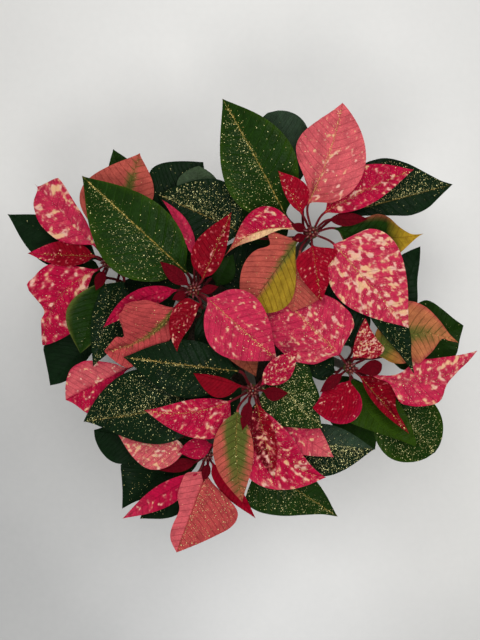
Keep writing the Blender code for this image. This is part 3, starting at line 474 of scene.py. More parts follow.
blade("G15", (-43, -141, 212), (-91, -174, 200), 16, 22, "leaf", stem="F")
print("blades so far:", len(BLADES))

# %% The lower leaves, which the canopy hides
blade("H1", (28, 62, 170), (12, 146, 150), 24, 24, "leaf", stem="A", arch=8)
blade("H2", (66, 66, 176), (140, 28, 150), 20, 23, "leaf", stem="A", arch=8)
blade("H3", (70, -10, 170), (118, 46, 150), 22, 22, "leaf", stem="D", arch=8)
blade("H4", (86, -44, 172), (128, -116, 150), 24, 24, "leaf", stem="D", arch=8)
blade("H5", (16, -68, 172), (38, -148, 150), 25, 24, "leaf", stem="E", arch=8)
blade("H6", (-38, -98, 172), (-92, -148, 150), 22, 24, "leaf", stem="F", arch=8)
blade("H7", (-38, -74, 158), (-116, -62, 146), 22, 22, "leaf", stem="F", arch=8)
blade("H8", (-127, 46, 176), (-178, 40, 160), ((0, 12), (.15, 20), (.4, 22), (.7, 15), (1, 0)),
      ((0, 10), (.15, 18), (.4, 20), (.7, 13), (1, 0)), "leaf", stem="C", arch=4, root=164)
blade("H9", (-98, 74, 182), (-132, 130, 152), 22, 22, "leaf", stem="C", arch=8, root=172)
blade("H10", (-34, 44, 176), (-50, 128, 152), 23, 22, "leaf", stem="B", arch=8)
blade("H11", (-46, 8, 176), (-106, -30, 152), 20, 20, "leaf", stem="B", arch=8)
print("blades so far:", len(BLADES))

# %% What lies over what, from the top down
LAYERS = """
B8 B3 D6 D5 D7 E4 E8 C5 F7 B6 B1 B2 A11 A12 A9 A8 A6 E3 E2 B5 A7 A10 A5 B11 D1 D4 G1 A1 A2 A3 A4 G5 T1
G4 D2 D3 G6 G17 B10 C1 G19 G20 G18 G21 G22 G2 G3 T2 E9 E5 E7 G10 E6 G12 T3 B4 G24 G27 G28 G29 G30 G31
G32 G23 C2 C3 C4 G16 G11 P2 G25 G8 G7 G9 F1 F2 F3 G13 F5 F6 F4 G26 G15 G14 H9 H8 H10 H2 H11 H4
H5 H6 H1 H3 H7
""".split()
print("blades in the table:", len(BLADES))

# %% [markdown]
# ## The shape of a blade
#
# A leaf's stalk, its petiole, leaves the stem squarely and turns into the midrib, which runs to the tip. The
# two halves of the blade hang on the midrib like wings. All of this is one surface of two parameters: u runs
# along it, from -1 at the stem to 0 at the foot of the blade and 1 at its tip, and v runs across it from -1
# at the left margin to 1 at the right one.

# %% Outlines and the line of the midrib
def unit(vectors):
    """Vectors scaled to length 1."""
    return vectors / np.maximum(np.linalg.norm(vectors, axis=-1, keepdims=True), 1e-9)


def side_of(value, side):
    """A value for the left (0) or right (1) side, where a pair gives one for each."""
    return value[side] if isinstance(value, tuple) else value


def through(at, value, u):
    """A smooth line through values at given places: cubic Hermite pieces, level where values turn back."""
    wide = (-1,) + (1,) * (value.ndim - 1)
    slope = np.gradient(value, at, axis=0)
    step = np.diff(value, axis=0) / np.diff(at).reshape(wide)
    slope[1:-1] = np.where(step[:-1] * step[1:] <= 0, 0, slope[1:-1])
    slope[0], slope[-1] = step[0], step[-1]
    k = np.clip(np.searchsorted(at, u, side="right") - 1, 0, len(at) - 2)
    gap = (at[k + 1] - at[k]).reshape(wide)
    t = ((u - at[k]) / (at[k + 1] - at[k])).reshape(wide)
    start = (1 + 2 * t) * (1 - t) ** 2 * value[k] + t * (1 - t) ** 2 * gap * slope[k]
    return start + t * t * (3 - 2 * t) * value[k + 1] + t * t * (t - 1) * gap * slope[k + 1]


def outline(spec, u, side):
    """Half-width at u on one side: (u/p)^a ((1-u)/(1-p))^c, widest at p, or a line through given points."""
    width = (spec["left"], spec["right"])[side]
    if isinstance(width, tuple):
        at, value = np.array(width, float).T
        return np.maximum(through(at, value, u), 0)
    peak, tail = side_of(spec["peak"], side), side_of(spec["tail"], side)
    rise = tail * peak / (1 - peak)
    return width * (u / peak) ** rise * ((1 - u) / (1 - peak)) ** tail


def midrib(spec, u):
    """The line from base to tip, with a hump up for the arch and one sideways for the bow, and the hook."""
    base, tip = spec["base"], spec["tip"]
    right = unit(np.cross(tip - base, UP))
    u = u[:, None]
    hump = 4 * u * (1 - u)
    drop = spec["hook"] * np.maximum(0, (u - 0.6) / 0.4) ** 2
    return base + (tip - base) * u + (spec["arch"] * UP - spec["bow"] * right) * hump - drop * UP


print("length of the largest blade:", round(max(spec["length"] for spec in BLADES.values())), "mm")

# %% [markdown]
# ## The stems that carry the blades
#
# Each head has its own branch from the trunk. A petiole starts on it at some height, so the branch's line
# comes before the petioles. Both are cubic Bezier curves, because four control points give a curve its two
# ends and the directions that it leaves them in.

# %% Branches
GAP = 0.3
TRUNK_TOP = 136.0
BRANCH_R = 4.3
STEM_R = 3.6
BRANCH_STATIONS = 10
CROTCH = 8.0
STALK = 28.0
STALK_R = 3.8
STALK_NECK = 9.0
RECEPTACLE = 3.0
RECEPTACLE_R = 5.4


def bezier(points, t):
    """A cubic Bezier curve through four control points, at the parameters t."""
    a, b, c, d = np.array(points, float)
    t = np.asarray(t, float)[:, None]
    return (1 - t) ** 3 * a + 3 * t * (1 - t) ** 2 * b + 3 * t * t * (1 - t) * c + t ** 3 * d


def branch(stem, stations=BRANCH_STATIONS):
    """A branch's axis: a Bezier curve from inside the trunk, out under its head and up to its stalk."""
    x, y, top = HEADS[stem]
    start = (0, 0, TRUNK_TOP - CROTCH)
    points = [start, (0.5 * x, 0.5 * y, TRUNK_TOP + 14), (x, y, TRUNK_TOP + 40), (x, y, top - STALK)]
    return bezier(points, np.linspace(0, 1, stations))


def stalk_profile(top):
    """The flower stalk's heights and radii: a thin stalk that widens to the receptacle under the bracts."""
    heights = [top - STALK + GAP, top - STALK_NECK, top - RECEPTACLE, top]
    return heights, [STEM_R, STALK_R, RECEPTACLE_R, RECEPTACLE_R - 0.6]


def stem_at(stem, height):
    """The stem's axis, direction and radius at a height, on the branch or on the flower stalk above it."""
    x, y, top = HEADS[stem]
    if height >= top - STALK:
        heights, radii = stalk_profile(top)
        radius = max(np.interp([height - 2, height + 2], heights, radii))
        return np.array([x, y, height], float), UP, radius
    axis = branch(stem)
    k = int(np.searchsorted(axis[:, 2], height))
    step = axis[k] - axis[k - 1]
    centre = axis[k - 1] + step * (height - axis[k - 1, 2]) / step[2]
    return centre, unit(step), np.linspace(BRANCH_R, STEM_R, BRANCH_STATIONS)[k - 1]


print("the branch of head A ends at", np.round(branch("A")[-1], 1))

# %% Petioles
PETIOLE_BRACT = 1.3
PETIOLE_LEAF = 1.6
ROOT_DEPTH = 4.5
ROOT_STEP = 0.31


def petiole(spec):
    """The four control points of a petiole, which leaves its stem squarely and turns into the midrib."""
    top = HEADS[spec["stem"]][2]
    base = spec["base"]
    if spec["kind"] == "bract":
        # Each root lies a little lower than the one before it, and starts a little farther out.
        order = spec["order"]
        height = min(base[2] - 3, top - ROOT_DEPTH) - ROOT_STEP * order
        centre, along, _ = stem_at(spec["stem"], height)
        reach = 1.1 + 0.07 * order
    else:
        # A leaf's petiole climbs by 6 mm and a third of its way out, unless the table gives its root.
        away = np.hypot(*(base[:2] - np.array(HEADS[spec["stem"]][:2])))
        height = spec["root"] if spec["root"] else base[2] - 6 - 0.35 * away
        centre, along, radius = stem_at(spec["stem"], height)
        reach = radius + GAP
    out = base - centre
    out = unit(out - along * np.dot(out, along))
    root = centre + out * reach
    length = np.linalg.norm(base - root)
    start = unit(midrib(spec, np.array([1e-3]))[0] - base)
    return root, root + out * 0.3 * length, base - start * 0.35 * length, base


def petiole_r(spec):
    """The radius of this blade's petiole."""
    return PETIOLE_BRACT if spec["kind"] == "bract" else PETIOLE_LEAF


print("petiole of leaf G1 starts at", np.round(petiole(BLADES["G1"])[0], 1))

# %% [markdown]
# ## Wings on the midrib
#
# Across the midrib, a blade's section is two wings. The fold lifts both, and roll and twist turn them about
# the midrib. A real wing isn't flat: it rises from the midrib, levels off and droops at its margin, and
# between the side veins it swells up a little, like a quilt. The solid model has the plain wings, and the
# fine pieces add the droop, the quilting and a faint ripple of the margin.

# %% Sections of a blade
def axis_line(spec, u):
    """The petiole for u from -1 to 0, then the midrib."""
    stalk = bezier(petiole(spec), np.clip(u + 1, 0, 1))
    return np.where(u[:, None] < 0, stalk, midrib(spec, np.clip(u, 0, 1)))


def section_frames(spec, u):
    """Each section's centre, its direction to the right and its upward normal.

    right is the tangent crossed with the upward direction, and leans a little to the whole blade's own right,
    so that it stays defined where a petiole stands upright. The blade's roll then turns both directions:
    right becomes right cos(roll) - normal sin(roll), and normal becomes normal cos(roll) + right sin(roll).
    """
    axis = axis_line(spec, u)
    tangent = unit(axis_line(spec, np.minimum(u + 1e-3, 1)) - axis_line(spec, np.maximum(u - 1e-3, -1)))
    chord = unit(np.cross(spec["tip"] - spec["base"], UP))
    right = unit(np.cross(tangent, UP) + 0.25 * chord)
    right = unit(right - tangent * np.sum(right * tangent, axis=-1, keepdims=True))
    normal = np.cross(right, tangent)
    roll = np.radians(spec["roll"] + spec["twist"] * (np.clip(u, 0, 1) - 0.5)) * np.clip(u / 0.2 + 0.2, 0, 1)
    c, s = np.cos(roll)[:, None], np.sin(roll)[:, None]
    return axis, right * c - normal * s, normal * c + right * s


def distances(spec, u, v):
    """For each point, its distance from the midrib, signed, and the half-width of its side there."""
    along = np.clip(u, 0, 1)
    stalk = petiole_r(spec)
    widths = [np.maximum(outline(spec, along, side), stalk * (1 - along)) for side in (0, 1)]
    half = [np.where(u < 0, stalk, width)[:, None] for width in widths]
    half = np.where(v[None, :] < 0, half[0], half[1])
    return v[None, :] * half, half


g1_right = section_frames(BLADES["G1"], np.array([0.5]))[1][0]
print("to the right, in the middle of leaf G1, is", np.round(g1_right, 2))

# %% The blade's surface
VEIN_PAIRS = 13.0
QUILT = 0.26
DROOP = 0.09
VEIN_LEAN = 0.5
VEIN_CURVE = 0.045


def vein_phase(s, x):
    """Counts the side veins: a whole number on each, for s and x in vein spacings along and across."""
    return s - VEIN_LEAN * np.abs(x) - VEIN_CURVE * x * x + 0.5 * (x < 0)


def blade_surface(spec, u, v, detailed=False):
    """The blade's middle surface: axis + right x cos(fold) + normal (|x| sin(fold) + ripple).

    x is the distance across from the midrib. A detailed surface has its quilting, the droop of its margins
    and their fine ripple as well, and comes with its frames and x, which its closed skin needs.
    """
    axis, right, normal = section_frames(spec, u)
    across, half = distances(spec, u, v)
    along = np.clip(u, 0, 1)[:, None]
    fold = np.radians(spec["fold"]) * np.clip(u / 0.1, 0, 1)[:, None]
    ripple = spec["wave"] * np.abs(v)[None, :] ** 1.5 * np.sin(5 * math.pi * along)
    lift = np.abs(across) * np.sin(fold) + ripple
    if detailed:
        spacing = spec["length"] / VEIN_PAIRS
        grown = np.clip(u / 0.15, 0, 1)[:, None] * np.clip((1 - along) / 0.1, 0, 1)
        phase = vein_phase(along * VEIN_PAIRS, across / spacing)
        inside = np.clip(np.abs(across) / 2.5, 0, 1) * np.clip((1 - np.abs(v)[None, :]) / 0.12, 0, 1)
        quilt = QUILT * min(1, spacing / 7) * (np.abs(np.sin(math.pi * phase)) - 0.5) * inside
        ripple = np.sin(17 * along + 2.6 * spec["order"] + 2 * np.sign(v))
        edge = 0.02 * half * np.abs(v)[None, :] ** 3 * ripple
        lift = lift + grown * (quilt + edge - DROOP * half * np.abs(v)[None, :] ** 2.4)
    points = axis[:, None] + right[:, None] * (across * np.cos(fold))[..., None]
    points = points + normal[:, None] * lift[..., None]
    return (points, right, normal, across) if detailed else points


leaf_g1 = blade_surface(BLADES["G1"], np.linspace(0, 1, 5), np.array([-1.0, 0.0, 1.0]))
print("heights of leaf G1 at its left margin:", np.round(leaf_g1[:, 0, 2], 1))

# %% [markdown]
# ## What lies over what
#
# The photo shows which blade covers which. Laying them from the top down, each one is bent down wherever it
# would come too close to those above it. A ceiling does the bookkeeping: over each small square of the plan
# it keeps the lowest height laid so far. The same rule bent the solid model's blades on a coarse grid, so it
# runs on that grid here too, and its bends are then carried over to the fine surfaces.

# %% The ceiling
CENTRE_R = 14.0
OPEN_SKY = 1e6


class Ceiling:
    """The lowest height, over each small square of the plan, of the blades laid so far."""

    CELL = 2.0
    SPAN = 260.0

    def __init__(self):
        side = int(2 * self.SPAN / self.CELL)
        self.height = np.full((side, side), OPEN_SKY)

    def squares(self, points):
        """The row and column of the square that each point lies over."""
        index = np.floor((points[..., :2] + self.SPAN) / self.CELL).astype(int)
        return index[..., 0], index[..., 1]

    def over(self, points):
        """The ceiling's height over each point."""
        return self.height[self.squares(points)]

    def lay(self, points):
        """Lowers the ceiling to these points, and over the squares next to theirs."""
        field = np.full_like(self.height, OPEN_SKY)
        np.minimum.at(field, self.squares(points), points[..., 2])
        for dx in (-1, 0, 1):
            for dy in (-1, 0, 1):
                self.height = np.minimum(self.height, np.roll(field, (dx, dy), (0, 1)))

    def lay_blade(self, name, grid, steps):
        """Lays a blade's surface, but not the middle of a head, where its bracts meet."""
        points = finer(grid, steps)[0].reshape(-1, 3)
        if BLADES[name]["kind"] == "bract":
            x, y, _ = HEADS[BLADES[name]["stem"]]
            points = points[np.hypot(points[:, 0] - x, points[:, 1] - y) >= CENTRE_R]
        self.lay(points)


def finer(grid, steps):
    """A grid's bilinear surface at steps points per square, with each point's square."""
    rows = np.linspace(0, grid.shape[0] - 1, (grid.shape[0] - 1) * steps + 1)
    columns = np.linspace(0, grid.shape[1] - 1, (grid.shape[1] - 1) * steps + 1)
    i = np.minimum(rows.astype(int), grid.shape[0] - 2)
    j = np.minimum(columns.astype(int), grid.shape[1] - 2)
    fu, fv = (rows - i)[:, None, None], (columns - j)[None, :, None]
    near = grid[i][:, j] * (1 - fv) + grid[i][:, j + 1] * fv
    far = grid[i + 1][:, j] * (1 - fv) + grid[i + 1][:, j + 1] * fv
    return near * (1 - fu) + far * fu, i, j


print("the ceiling has", Ceiling().height.size, "squares")

# %% Stations of the solid model's blades
LEAF_ROWS = np.array([-1, -.45, 0, .12, .3, .5, .7, .88, 1])
HIDDEN_ROWS = np.array([-1, -.45, 0, .28, .65, 1])
BRACT_ROWS = np.array([-1, -.4, 0, .16, .36, .58, .8, 1])
SMALL_ROWS = np.array([-1, -.3, 0.05, .3, .65, 1])
WIDE = np.array([-1, -.5, 0, .5, 1])
NARROW = np.array([-1, 0, 1])
SMALL_WIDTH = 26


def is_small(spec):
    """True for the narrow young bracts, whose cross-section needs only three points."""
    plain = not isinstance(spec["left"], tuple) and not isinstance(spec["right"], tuple)
    return plain and spec["kind"] == "bract" and spec["left"] + spec["right"] <= SMALL_WIDTH


def rows_of(name):
    """The solid model's stations along this blade: fewer on a small one."""
    spec = BLADES[name]
    if spec["kind"] == "leaf":
        return HIDDEN_ROWS if name[0] == "H" else LEAF_ROWS
    return SMALL_ROWS if is_small(spec) else BRACT_ROWS


def columns_of(name):
    """The solid model's stations across this blade."""
    return NARROW if is_small(BLADES[name]) else WIDE


print("leaf G1 has", len(rows_of("G1")), "stations along it and", len(columns_of("G1")), "across")

# %% Bending the blades clear
LAYER_GAP = 2.4


def coarse_bends():
    """How far down each station of the solid model's blades was bent.

    A point has to lie LAYER_GAP under the ceiling. What it lacks goes to the four stations round it.
    """
    ceiling = Ceiling()
    bends = {}
    for name in LAYERS:
        rows = rows_of(name)
        first = int(np.argmax(rows >= 0))
        grid = blade_surface(BLADES[name], rows, columns_of(name))
        push = np.zeros(grid.shape[:2])
        points, i, j = finer(grid[first:], 6)
        need = np.maximum(0, points[..., 2] + LAYER_GAP - ceiling.over(points))
        need *= np.clip(np.linspace(0, 1, len(i)) / 0.18, 0, 1)[:, None]
        for du in (0, 1):
            for dv in (0, 1):
                np.maximum.at(push, (i[:, None] + du + first, j[None, :] + dv), need)
        push[:first + 1] = 0
        grid[..., 2] -= push
        ceiling.lay_blade(name, grid[first:], 8)
        bends[name] = push
    return bends


bends = coarse_bends()
print("deepest bend:", round(max(push.max() for push in bends.values()), 1), "mm")

# %% [markdown]
# ## Fine blades
#
# Each fine blade has many more stations than its node. The stations across it crowd towards the midrib,
# where the section changes most. The coarse bends are interpolated onto them, and a second, gentler pass of
# the ceiling makes room for the lobes and ripples that the coarse grid didn't have: its bends are spread and
# smoothed, so that a leaf yields as a whole and doesn't crease.

# %% Fine stations
STALK_STATIONS = np.array([-1, -.86, -.72, -.58, -.44, -.3, -.18, -.08])
HALF_COLUMNS = 8
PACE = 2.1


def stations(spec):
    """The rows of a fine blade, about PACE apart, closer at both ends: u = t - 0.12 sin(2 pi t) / pi."""
    count = int(np.clip(spec["length"] / PACE, 16, 58))
    t = np.linspace(0, 1, count)
    return np.concatenate([STALK_STATIONS, t - 0.12 * np.sin(2 * math.pi * t) / math.pi])


COLUMNS = np.linspace(-1, 1, 2 * HALF_COLUMNS + 1)
COLUMNS = np.sign(COLUMNS) * np.abs(COLUMNS) ** 1.35
print("the fine leaf G1 has", len(stations(BLADES["G1"])), "stations along it and", len(COLUMNS), "across")

# %% Fine surfaces
FINE_GAP = 1.5


def spread(field, reach):
    """The highest value within reach squares, then averaged over as many: it never gets less than needed."""
    for axis in (0, 1):
        wide = [np.roll(field, k, axis) for k in range(-reach, reach + 1)]
        field = np.max(wide, axis=0)
    for axis in (0, 1):
        pad = [(reach, reach) if a == axis else (0, 0) for a in (0, 1)]
        padded = np.pad(field, pad, mode="edge")
        field = np.mean([np.roll(padded, k, axis) for k in range(-reach, reach + 1)], axis=0)
        field = np.take(field, np.arange(reach, padded.shape[axis] - reach), axis=axis)
    return field


def fine_blades():
    """Every blade's fine surface, laid from the top layer down."""
    ceiling = Ceiling()
    blades = {}
    for name in LAYERS:
        spec = BLADES[name]
        u = stations(spec)
        points, right, normal, across = blade_surface(spec, u, COLUMNS, detailed=True)
        bend = through(rows_of(name), bends[name], u)
        points[..., 2] -= through(columns_of(name), bend.T, COLUMNS).T
        first = len(STALK_STATIONS)
        need = np.maximum(0, points[first:, :, 2] + FINE_GAP - ceiling.over(points[first:]))
        need *= np.clip(u[first:] / 0.15, 0, 1)[:, None]
        if need.max() > 0:
            more = spread(need, 2) * np.clip(u[first:] / 0.08, 0, 1)[:, None]
            points[first:, :, 2] -= more
        ceiling.lay_blade(name, points[first:], 2)
        blades[name] = dict(u=u, points=points, right=right, normal=normal, across=across)
    return blades


fine = fine_blades()
print("fine points:", sum(part["across"].size for part in fine.values()))

# %% [markdown]
# ## Colours of the bracts and leaves
#
# Young bracts are dark crimson, and older ones magenta, pink and salmon. Many have cream mottles, and the
# ones halfway to leaves are green along the midrib. So each blade gets a ground colour, other colours for a
# side, the margin, the base or the tip, and the shares of cream, green and dark veins. They are stored on
# the points, and the finish below draws the pattern with them.

# %% Palette
CRIMSON = (0.28, 0.001, 0.013)
WINE = (0.2, 0.001, 0.008)
DARK = (0.11, 0.001, 0.006)
MAGENTA = (0.39, 0.004, 0.038)
PINK = (0.47, 0.021, 0.064)
ROSE = (0.56, 0.09, 0.105)
SALMON = (0.41, 0.075, 0.055)
CORAL = (0.42, 0.055, 0.055)
BROWN = (0.2, 0.05, 0.025)
CREAM = (0.75, 0.47, 0.24)
OLIVE = (0.3, 0.19, 0.014)
MOSS = (0.085, 0.1, 0.018)
GREEN = (0.008, 0.027, 0.002)
DEEP = (0.004, 0.014, 0.004)
BLUISH = (0.022, 0.042, 0.022)
GREY_GREEN = (0.042, 0.068, 0.033)
FRESH = (0.019, 0.046, 0.002)
STALK_RED = (0.11, 0.009, 0.013)
GILT = (0.6, 0.38, 0.09)
YELLOW = (0.45, 0.27, 0.018)
APRICOT = (0.42, 0.14, 0.055)
print("a crimson bract has the colour", CRIMSON)

# %% How a look is kept
LOOKS = {}


def look(name, ground, cream=0.0, veins=0.25, green=0.0, gold=0.0, silver=(0, 0), **zones):
    """Keeps a blade's colours.

    cream, veins and green are shares from 0 to 1. gold counts glitter flakes per cm along the midrib, and
    silver counts them per square cm on the left and right half. zones may have left, right, edge, base and
    tip, each a colour, spots: the size of the cream mottles, and breadth: how far the green reaches from the
    midrib, in vein spacings.
    """
    LOOKS[name] = dict(zones, ground=ground, cream=cream, veins=veins, green=green, gold=gold, silver=silver)


print("blades that need a look:", len(BLADES))

# %% Looks of heads A and B
look("A1", ROSE, cream=.22, gold=10, silver=(2, 1), base=CORAL)
look("A2", MAGENTA, cream=.26, gold=5, silver=(3, 1), base=CRIMSON, edge=MAGENTA)
look("A3", DARK)
look("A11", DARK)
look("A12", DARK)
look("A4", GREEN, veins=.3, tip=YELLOW, edge=BROWN)
look("A5", PINK, cream=.6, gold=8, silver=(1, 3), spots=.9)
look("A6", CRIMSON, cream=.1, gold=4)
look("A7", SALMON, veins=.6, left=OLIVE, green=.55, silver=(0, 1), breadth=.9)
look("A8", MAGENTA, cream=.24, left=CREAM, tip=SALMON, gold=6, silver=(1, 1))
look("A9", CRIMSON, cream=.1, gold=3)
look("A10", SALMON, veins=.5, green=.15, silver=(3, 3))
look("B1", WINE, cream=.08, gold=5, silver=(1, 2))
look("B2", DARK)
look("B3", DARK)
look("B4", MAGENTA, cream=.16, veins=.5)
look("B5", PINK, cream=.2, gold=14, silver=(1, 3))
look("B6", WINE, cream=.14, silver=(1, 1))
look("T3", CORAL, veins=.5, green=.6, gold=8, silver=(1, 1), breadth=.6)
look("B8", DARK)
look("B10", PINK, cream=.1)
look("B11", SALMON, veins=.5, tip=BROWN)
print("bracts with a look:", len(LOOKS))

# %% Looks of heads C and D
look("C1", SALMON, veins=.35, green=1, gold=1, silver=(0, .5), breadth=1.1)
look("C2", PINK, cream=.46, edge=MAGENTA, spots=1.2)
look("C3", WINE, cream=.1, gold=4, tip=MAGENTA)
look("C4", MAGENTA, cream=.34, gold=3, silver=(1, 1), spots=1.2)
look("C5", DARK)
look("D1", PINK, cream=.38, gold=16, silver=(1, 2), spots=1)
look("D2", PINK, cream=.42, gold=1, silver=(3, 3), edge=MAGENTA)
look("D3", WINE, cream=.04, gold=4, silver=(2, 1))
look("D4", CRIMSON, cream=.05, veins=.3, edge=MAGENTA)
look("D5", CRIMSON, cream=.55, veins=.6, silver=(2, 2), base=CRIMSON)
look("D6", DARK)
look("D7", DARK)
look("T1", APRICOT, veins=.4, green=.75, gold=3, base=OLIVE, edge=SALMON, breadth=1.8)
print("bracts with a look:", len(LOOKS))

# %% Looks of heads E and F
look("T2", SALMON, veins=.6, gold=3, silver=(1, 1), green=1, breadth=1.7)
look("E2", WINE)
look("E3", MAGENTA, cream=.38, silver=(4, 4))
look("E4", DARK)
look("E5", WINE, cream=.3, gold=3, silver=(4, 2), right=DARK, spots=1.2)
look("E6", PINK, cream=.32, tip=ROSE)
look("E7", MAGENTA, cream=.4, gold=2, silver=(3, 3), edge=PINK)
look("E8", DARK)
look("E9", MAGENTA, cream=.4, gold=8, silver=(1, 1), spots=1.2)
look("F1", MAGENTA, cream=.08)
look("F2", ROSE, cream=.46, silver=(9, 9), edge=ROSE, spots=1.2)
look("F3", DARK)
look("F4", MAGENTA, cream=.1, tip=PINK)
look("F5", CORAL, veins=.5, silver=(12, .5), right=ROSE)
look("F6", CRIMSON)
look("F7", DARK)
print("bracts with a look:", len(LOOKS))

# %% Looks of the leaves
look("P2", MAGENTA, cream=.26, veins=.4, edge=PINK, right=ROSE)
look("G1", GREEN, veins=.5, gold=18, silver=(10, 1.5), edge=FRESH)
look("G2", DEEP, gold=4, silver=(20, 1))
# Painted sheen: leaf G3's bluish grey green ground is the sheen on its waxy top.
look("G3", BLUISH, veins=.5, silver=(.5, .5))
look("G4", DEEP)
look("G5", DEEP, silver=(8, 8))
look("G6", GREEN, silver=(1, 1))
look("G7", GREEN, gold=1, silver=(15, 15), edge=FRESH)
look("G8", FRESH, veins=.3)
look("G9", BLUISH, silver=(4, 34), right=DEEP)
look("G10", GREEN, gold=3, silver=(22, 24))
look("G11", DEEP, gold=4, silver=(8, 18))
look("G12", DEEP, gold=20, silver=(6, .5))
look("G13", DEEP)
look("G14", DEEP, silver=(1, 2))
look("G15", DEEP, silver=(2, 1))
look("G16", DEEP, silver=(0, 1))
look("G17", GREEN, veins=.5, gold=20, silver=(9, 1), edge=FRESH)
look("G18", GREEN)
look("G19", DEEP, gold=6, silver=(1, 22))
look("G20", GREY_GREEN)
look("G21", DEEP, silver=(1, 1))
look("G22", GREEN)
look("G23", GREEN, edge=MOSS, silver=(.5, .5))
look("G24", DEEP, silver=(9, 12))
look("G25", DEEP)
look("G26", GREEN, gold=6, silver=(4, 14))
for number in range(27, 33):
    look(f"G{number}", DEEP, silver=(1, 1))
for number in range(1, 12):
    look(f"H{number}", GREEN)
print("blades without a look:", sorted(set(BLADES) - set(LOOKS)))

# %% [markdown]
# ## The finish of bracts and leaves
#
# A bract is velvety and a green leaf has a waxy sheen. Both show side veins that leave the midrib in pairs
# and curve towards the tip, and between them a net of the finest ones. The veins are drawn where a count
# that grows along the leaf, and lags behind away from the midrib, is a whole number. The cream mottles are
# cloudy noise cut at a height that the blade's own share of cream sets, each with a rose halo round it.

# %% Blade finishes
def blade_finish(name, vein_tint, roughness, gloss):
    """The finish of leaves and bracts, drawn with the numbers stored on their points.

    span holds the way along and across in vein spacings, and the blade's own seed. marks holds the shares
    of cream and veins and the size of the mottles. zones holds the shares of green and of gold on the
    midrib, and which side is below. ground is the colour under the pattern.
    """
    skin = Finish(name, roughness)
    along, across, seed = skin.parts(skin.attribute("span"))
    cream_share, vein_share, spot = skin.parts(skin.attribute("marks"))
    green_share, underside, rib_share = skin.parts(skin.attribute("zones"))
    ground = skin.attribute("ground", "Color")

    # Side veins, the midrib and the net of the finest veins.
    aside = across.size()
    left = (across * -400).ramp(0, 1)
    phase = along - aside * VEIN_LEAN - across * across * VEIN_CURVE + left * 0.5
    nearest = (phase + 0.5).fraction() - 0.5
    vein = 1 - nearest.size().ramp(0.0, 0.12)
    rib = 1 - aside.ramp(0.01, 0.1)
    flat = skin.node("ShaderNodeCombineXYZ", {}, {0: along - aside * 0.25, 1: across * 1.15, 2: seed * 9.7})
    net = skin.cells(flat, 4.2, "DISTANCE_TO_EDGE").ramp(0, 0.09)

    # The ground, a little lighter and darker in clouds, then green from the midrib, then the veins.
    cloud = skin.noise(flat, 0.8, 3.0)
    fine_cloud = skin.noise(flat, 3.0, 2.0)
    shade = (cloud * 0.7 + fine_cloud * 0.3).ramp(0.3, 0.7)
    tone = skin.mix(shade, (0.78, 0.76, 0.78, 1), (1.2, 1.22, 1.2, 1))
    colour = skin.mix(1.0, ground, tone, "MULTIPLY")
    verdure = (green_share * 1.7 - cloud * 0.6 + vein * 0.3).ramp(0.0, 0.8)
    colour = skin.mix(verdure * green_share.ramp(0, 0.1), colour, (*MOSS, 1))
    tinted = skin.mix(1.0, colour, vein_tint, "MULTIPLY")
    colour = skin.mix(vein_share * (vein * 0.8 + rib).ramp(0, 1), colour, tinted)
    colour = skin.mix((1 - net) * 0.3, colour, skin.mix(1.0, colour, (0.6, 0.5, 0.55, 1), "MULTIPLY"))

    # Cream mottles: large patches, blots and specks, with a rose halo.
    patch = skin.noise(flat, spot * 0.7, 1.0)
    spots = skin.noise(flat, spot * 2.2, 1.0, 0.4)
    speck = 1 - skin.cells(flat, 3.4).ramp(0.09, 0.2)
    field = patch * 0.35 + spots * 0.65 + (fine_cloud - 0.5) * 0.06
    level = 0.645 - cream_share * 0.25
    halo = (field - level + 0.07).ramp(0, 0.11)
    mottle = ((field - level + 0.02).ramp(0, 0.15) + speck * cream_share.ramp(0, 0.4) * 0.7).ramp(0, 1)
    present = cream_share.ramp(0.0, 0.03)
    colour = skin.mix(halo * present * 0.55, colour, (*ROSE, 1))
    milk = skin.mix(cloud.ramp(0.4, 0.6), (0.76, 0.46, 0.36, 1), (*CREAM, 1))
    colour = skin.mix(mottle * present * 0.85, colour, milk)

    # Gilt along the midrib, and the paler underside.
    sparkle = fine_cloud.ramp(0.42, 0.6)
    colour = skin.mix(rib * rib_share * (0.1 + sparkle * 0.6), colour, (*GILT, 1))
    pale = skin.mix(0.4, colour, (0.16, 0.15, 0.1, 1))
    skin.set("Base Color", skin.mix(underside, colour, pale))
    skin.set("Roughness", roughness - 0.1 + cloud * 0.2)
    skin.skin.inputs["Specular IOR Level"].default_value = gloss
    height = net * 0.35 - vein * 0.6 - rib * 0.6
    skin.bump(height, 0.0012, 0.75)
    return skin


bract_velvet = blade_finish("bract velvet", (0.6, 0.34, 0.42, 1), 0.5, 0.04)
leaf_wax = blade_finish("leaf wax", (2.3, 2.0, 2.1, 1), 0.4, 0.05)
print("finishes:", bract_velvet.material.name, leaf_wax.material.name)

# %% [markdown]
# ## Giving the blades their thickness
#
# Leaf and petiole are one closed skin. Each section is a ring: a circle on the petiole that opens out into
# a thin lens on the blade, with the midrib standing out underneath. The rings are joined along the leaf and
# closed at both ends by a single point.

# %% Closed skins
BLADE_THICKNESS = 0.6
PETIOLE_SLIM = 0.78


def ring_faces(rings, around):
    """The squares between closed rings of points, and the triangles that close both ends."""
    k = np.arange(rings - 1)[:, None] * around
    j = np.arange(around)[None, :]
    after = (j + 1) % around
    squares = np.stack([k + j, k + after, k + around + after, k + around + j], axis=-1).reshape(-1, 4)
    start, end = rings * around, rings * around + 1
    last = (rings - 1) * around
    root = np.stack([np.full(around, start), after[0], j[0]], axis=-1)
    tip = np.stack([last + j[0], last + after[0], np.full(around, end)], axis=-1)
    return [squares, root, tip]


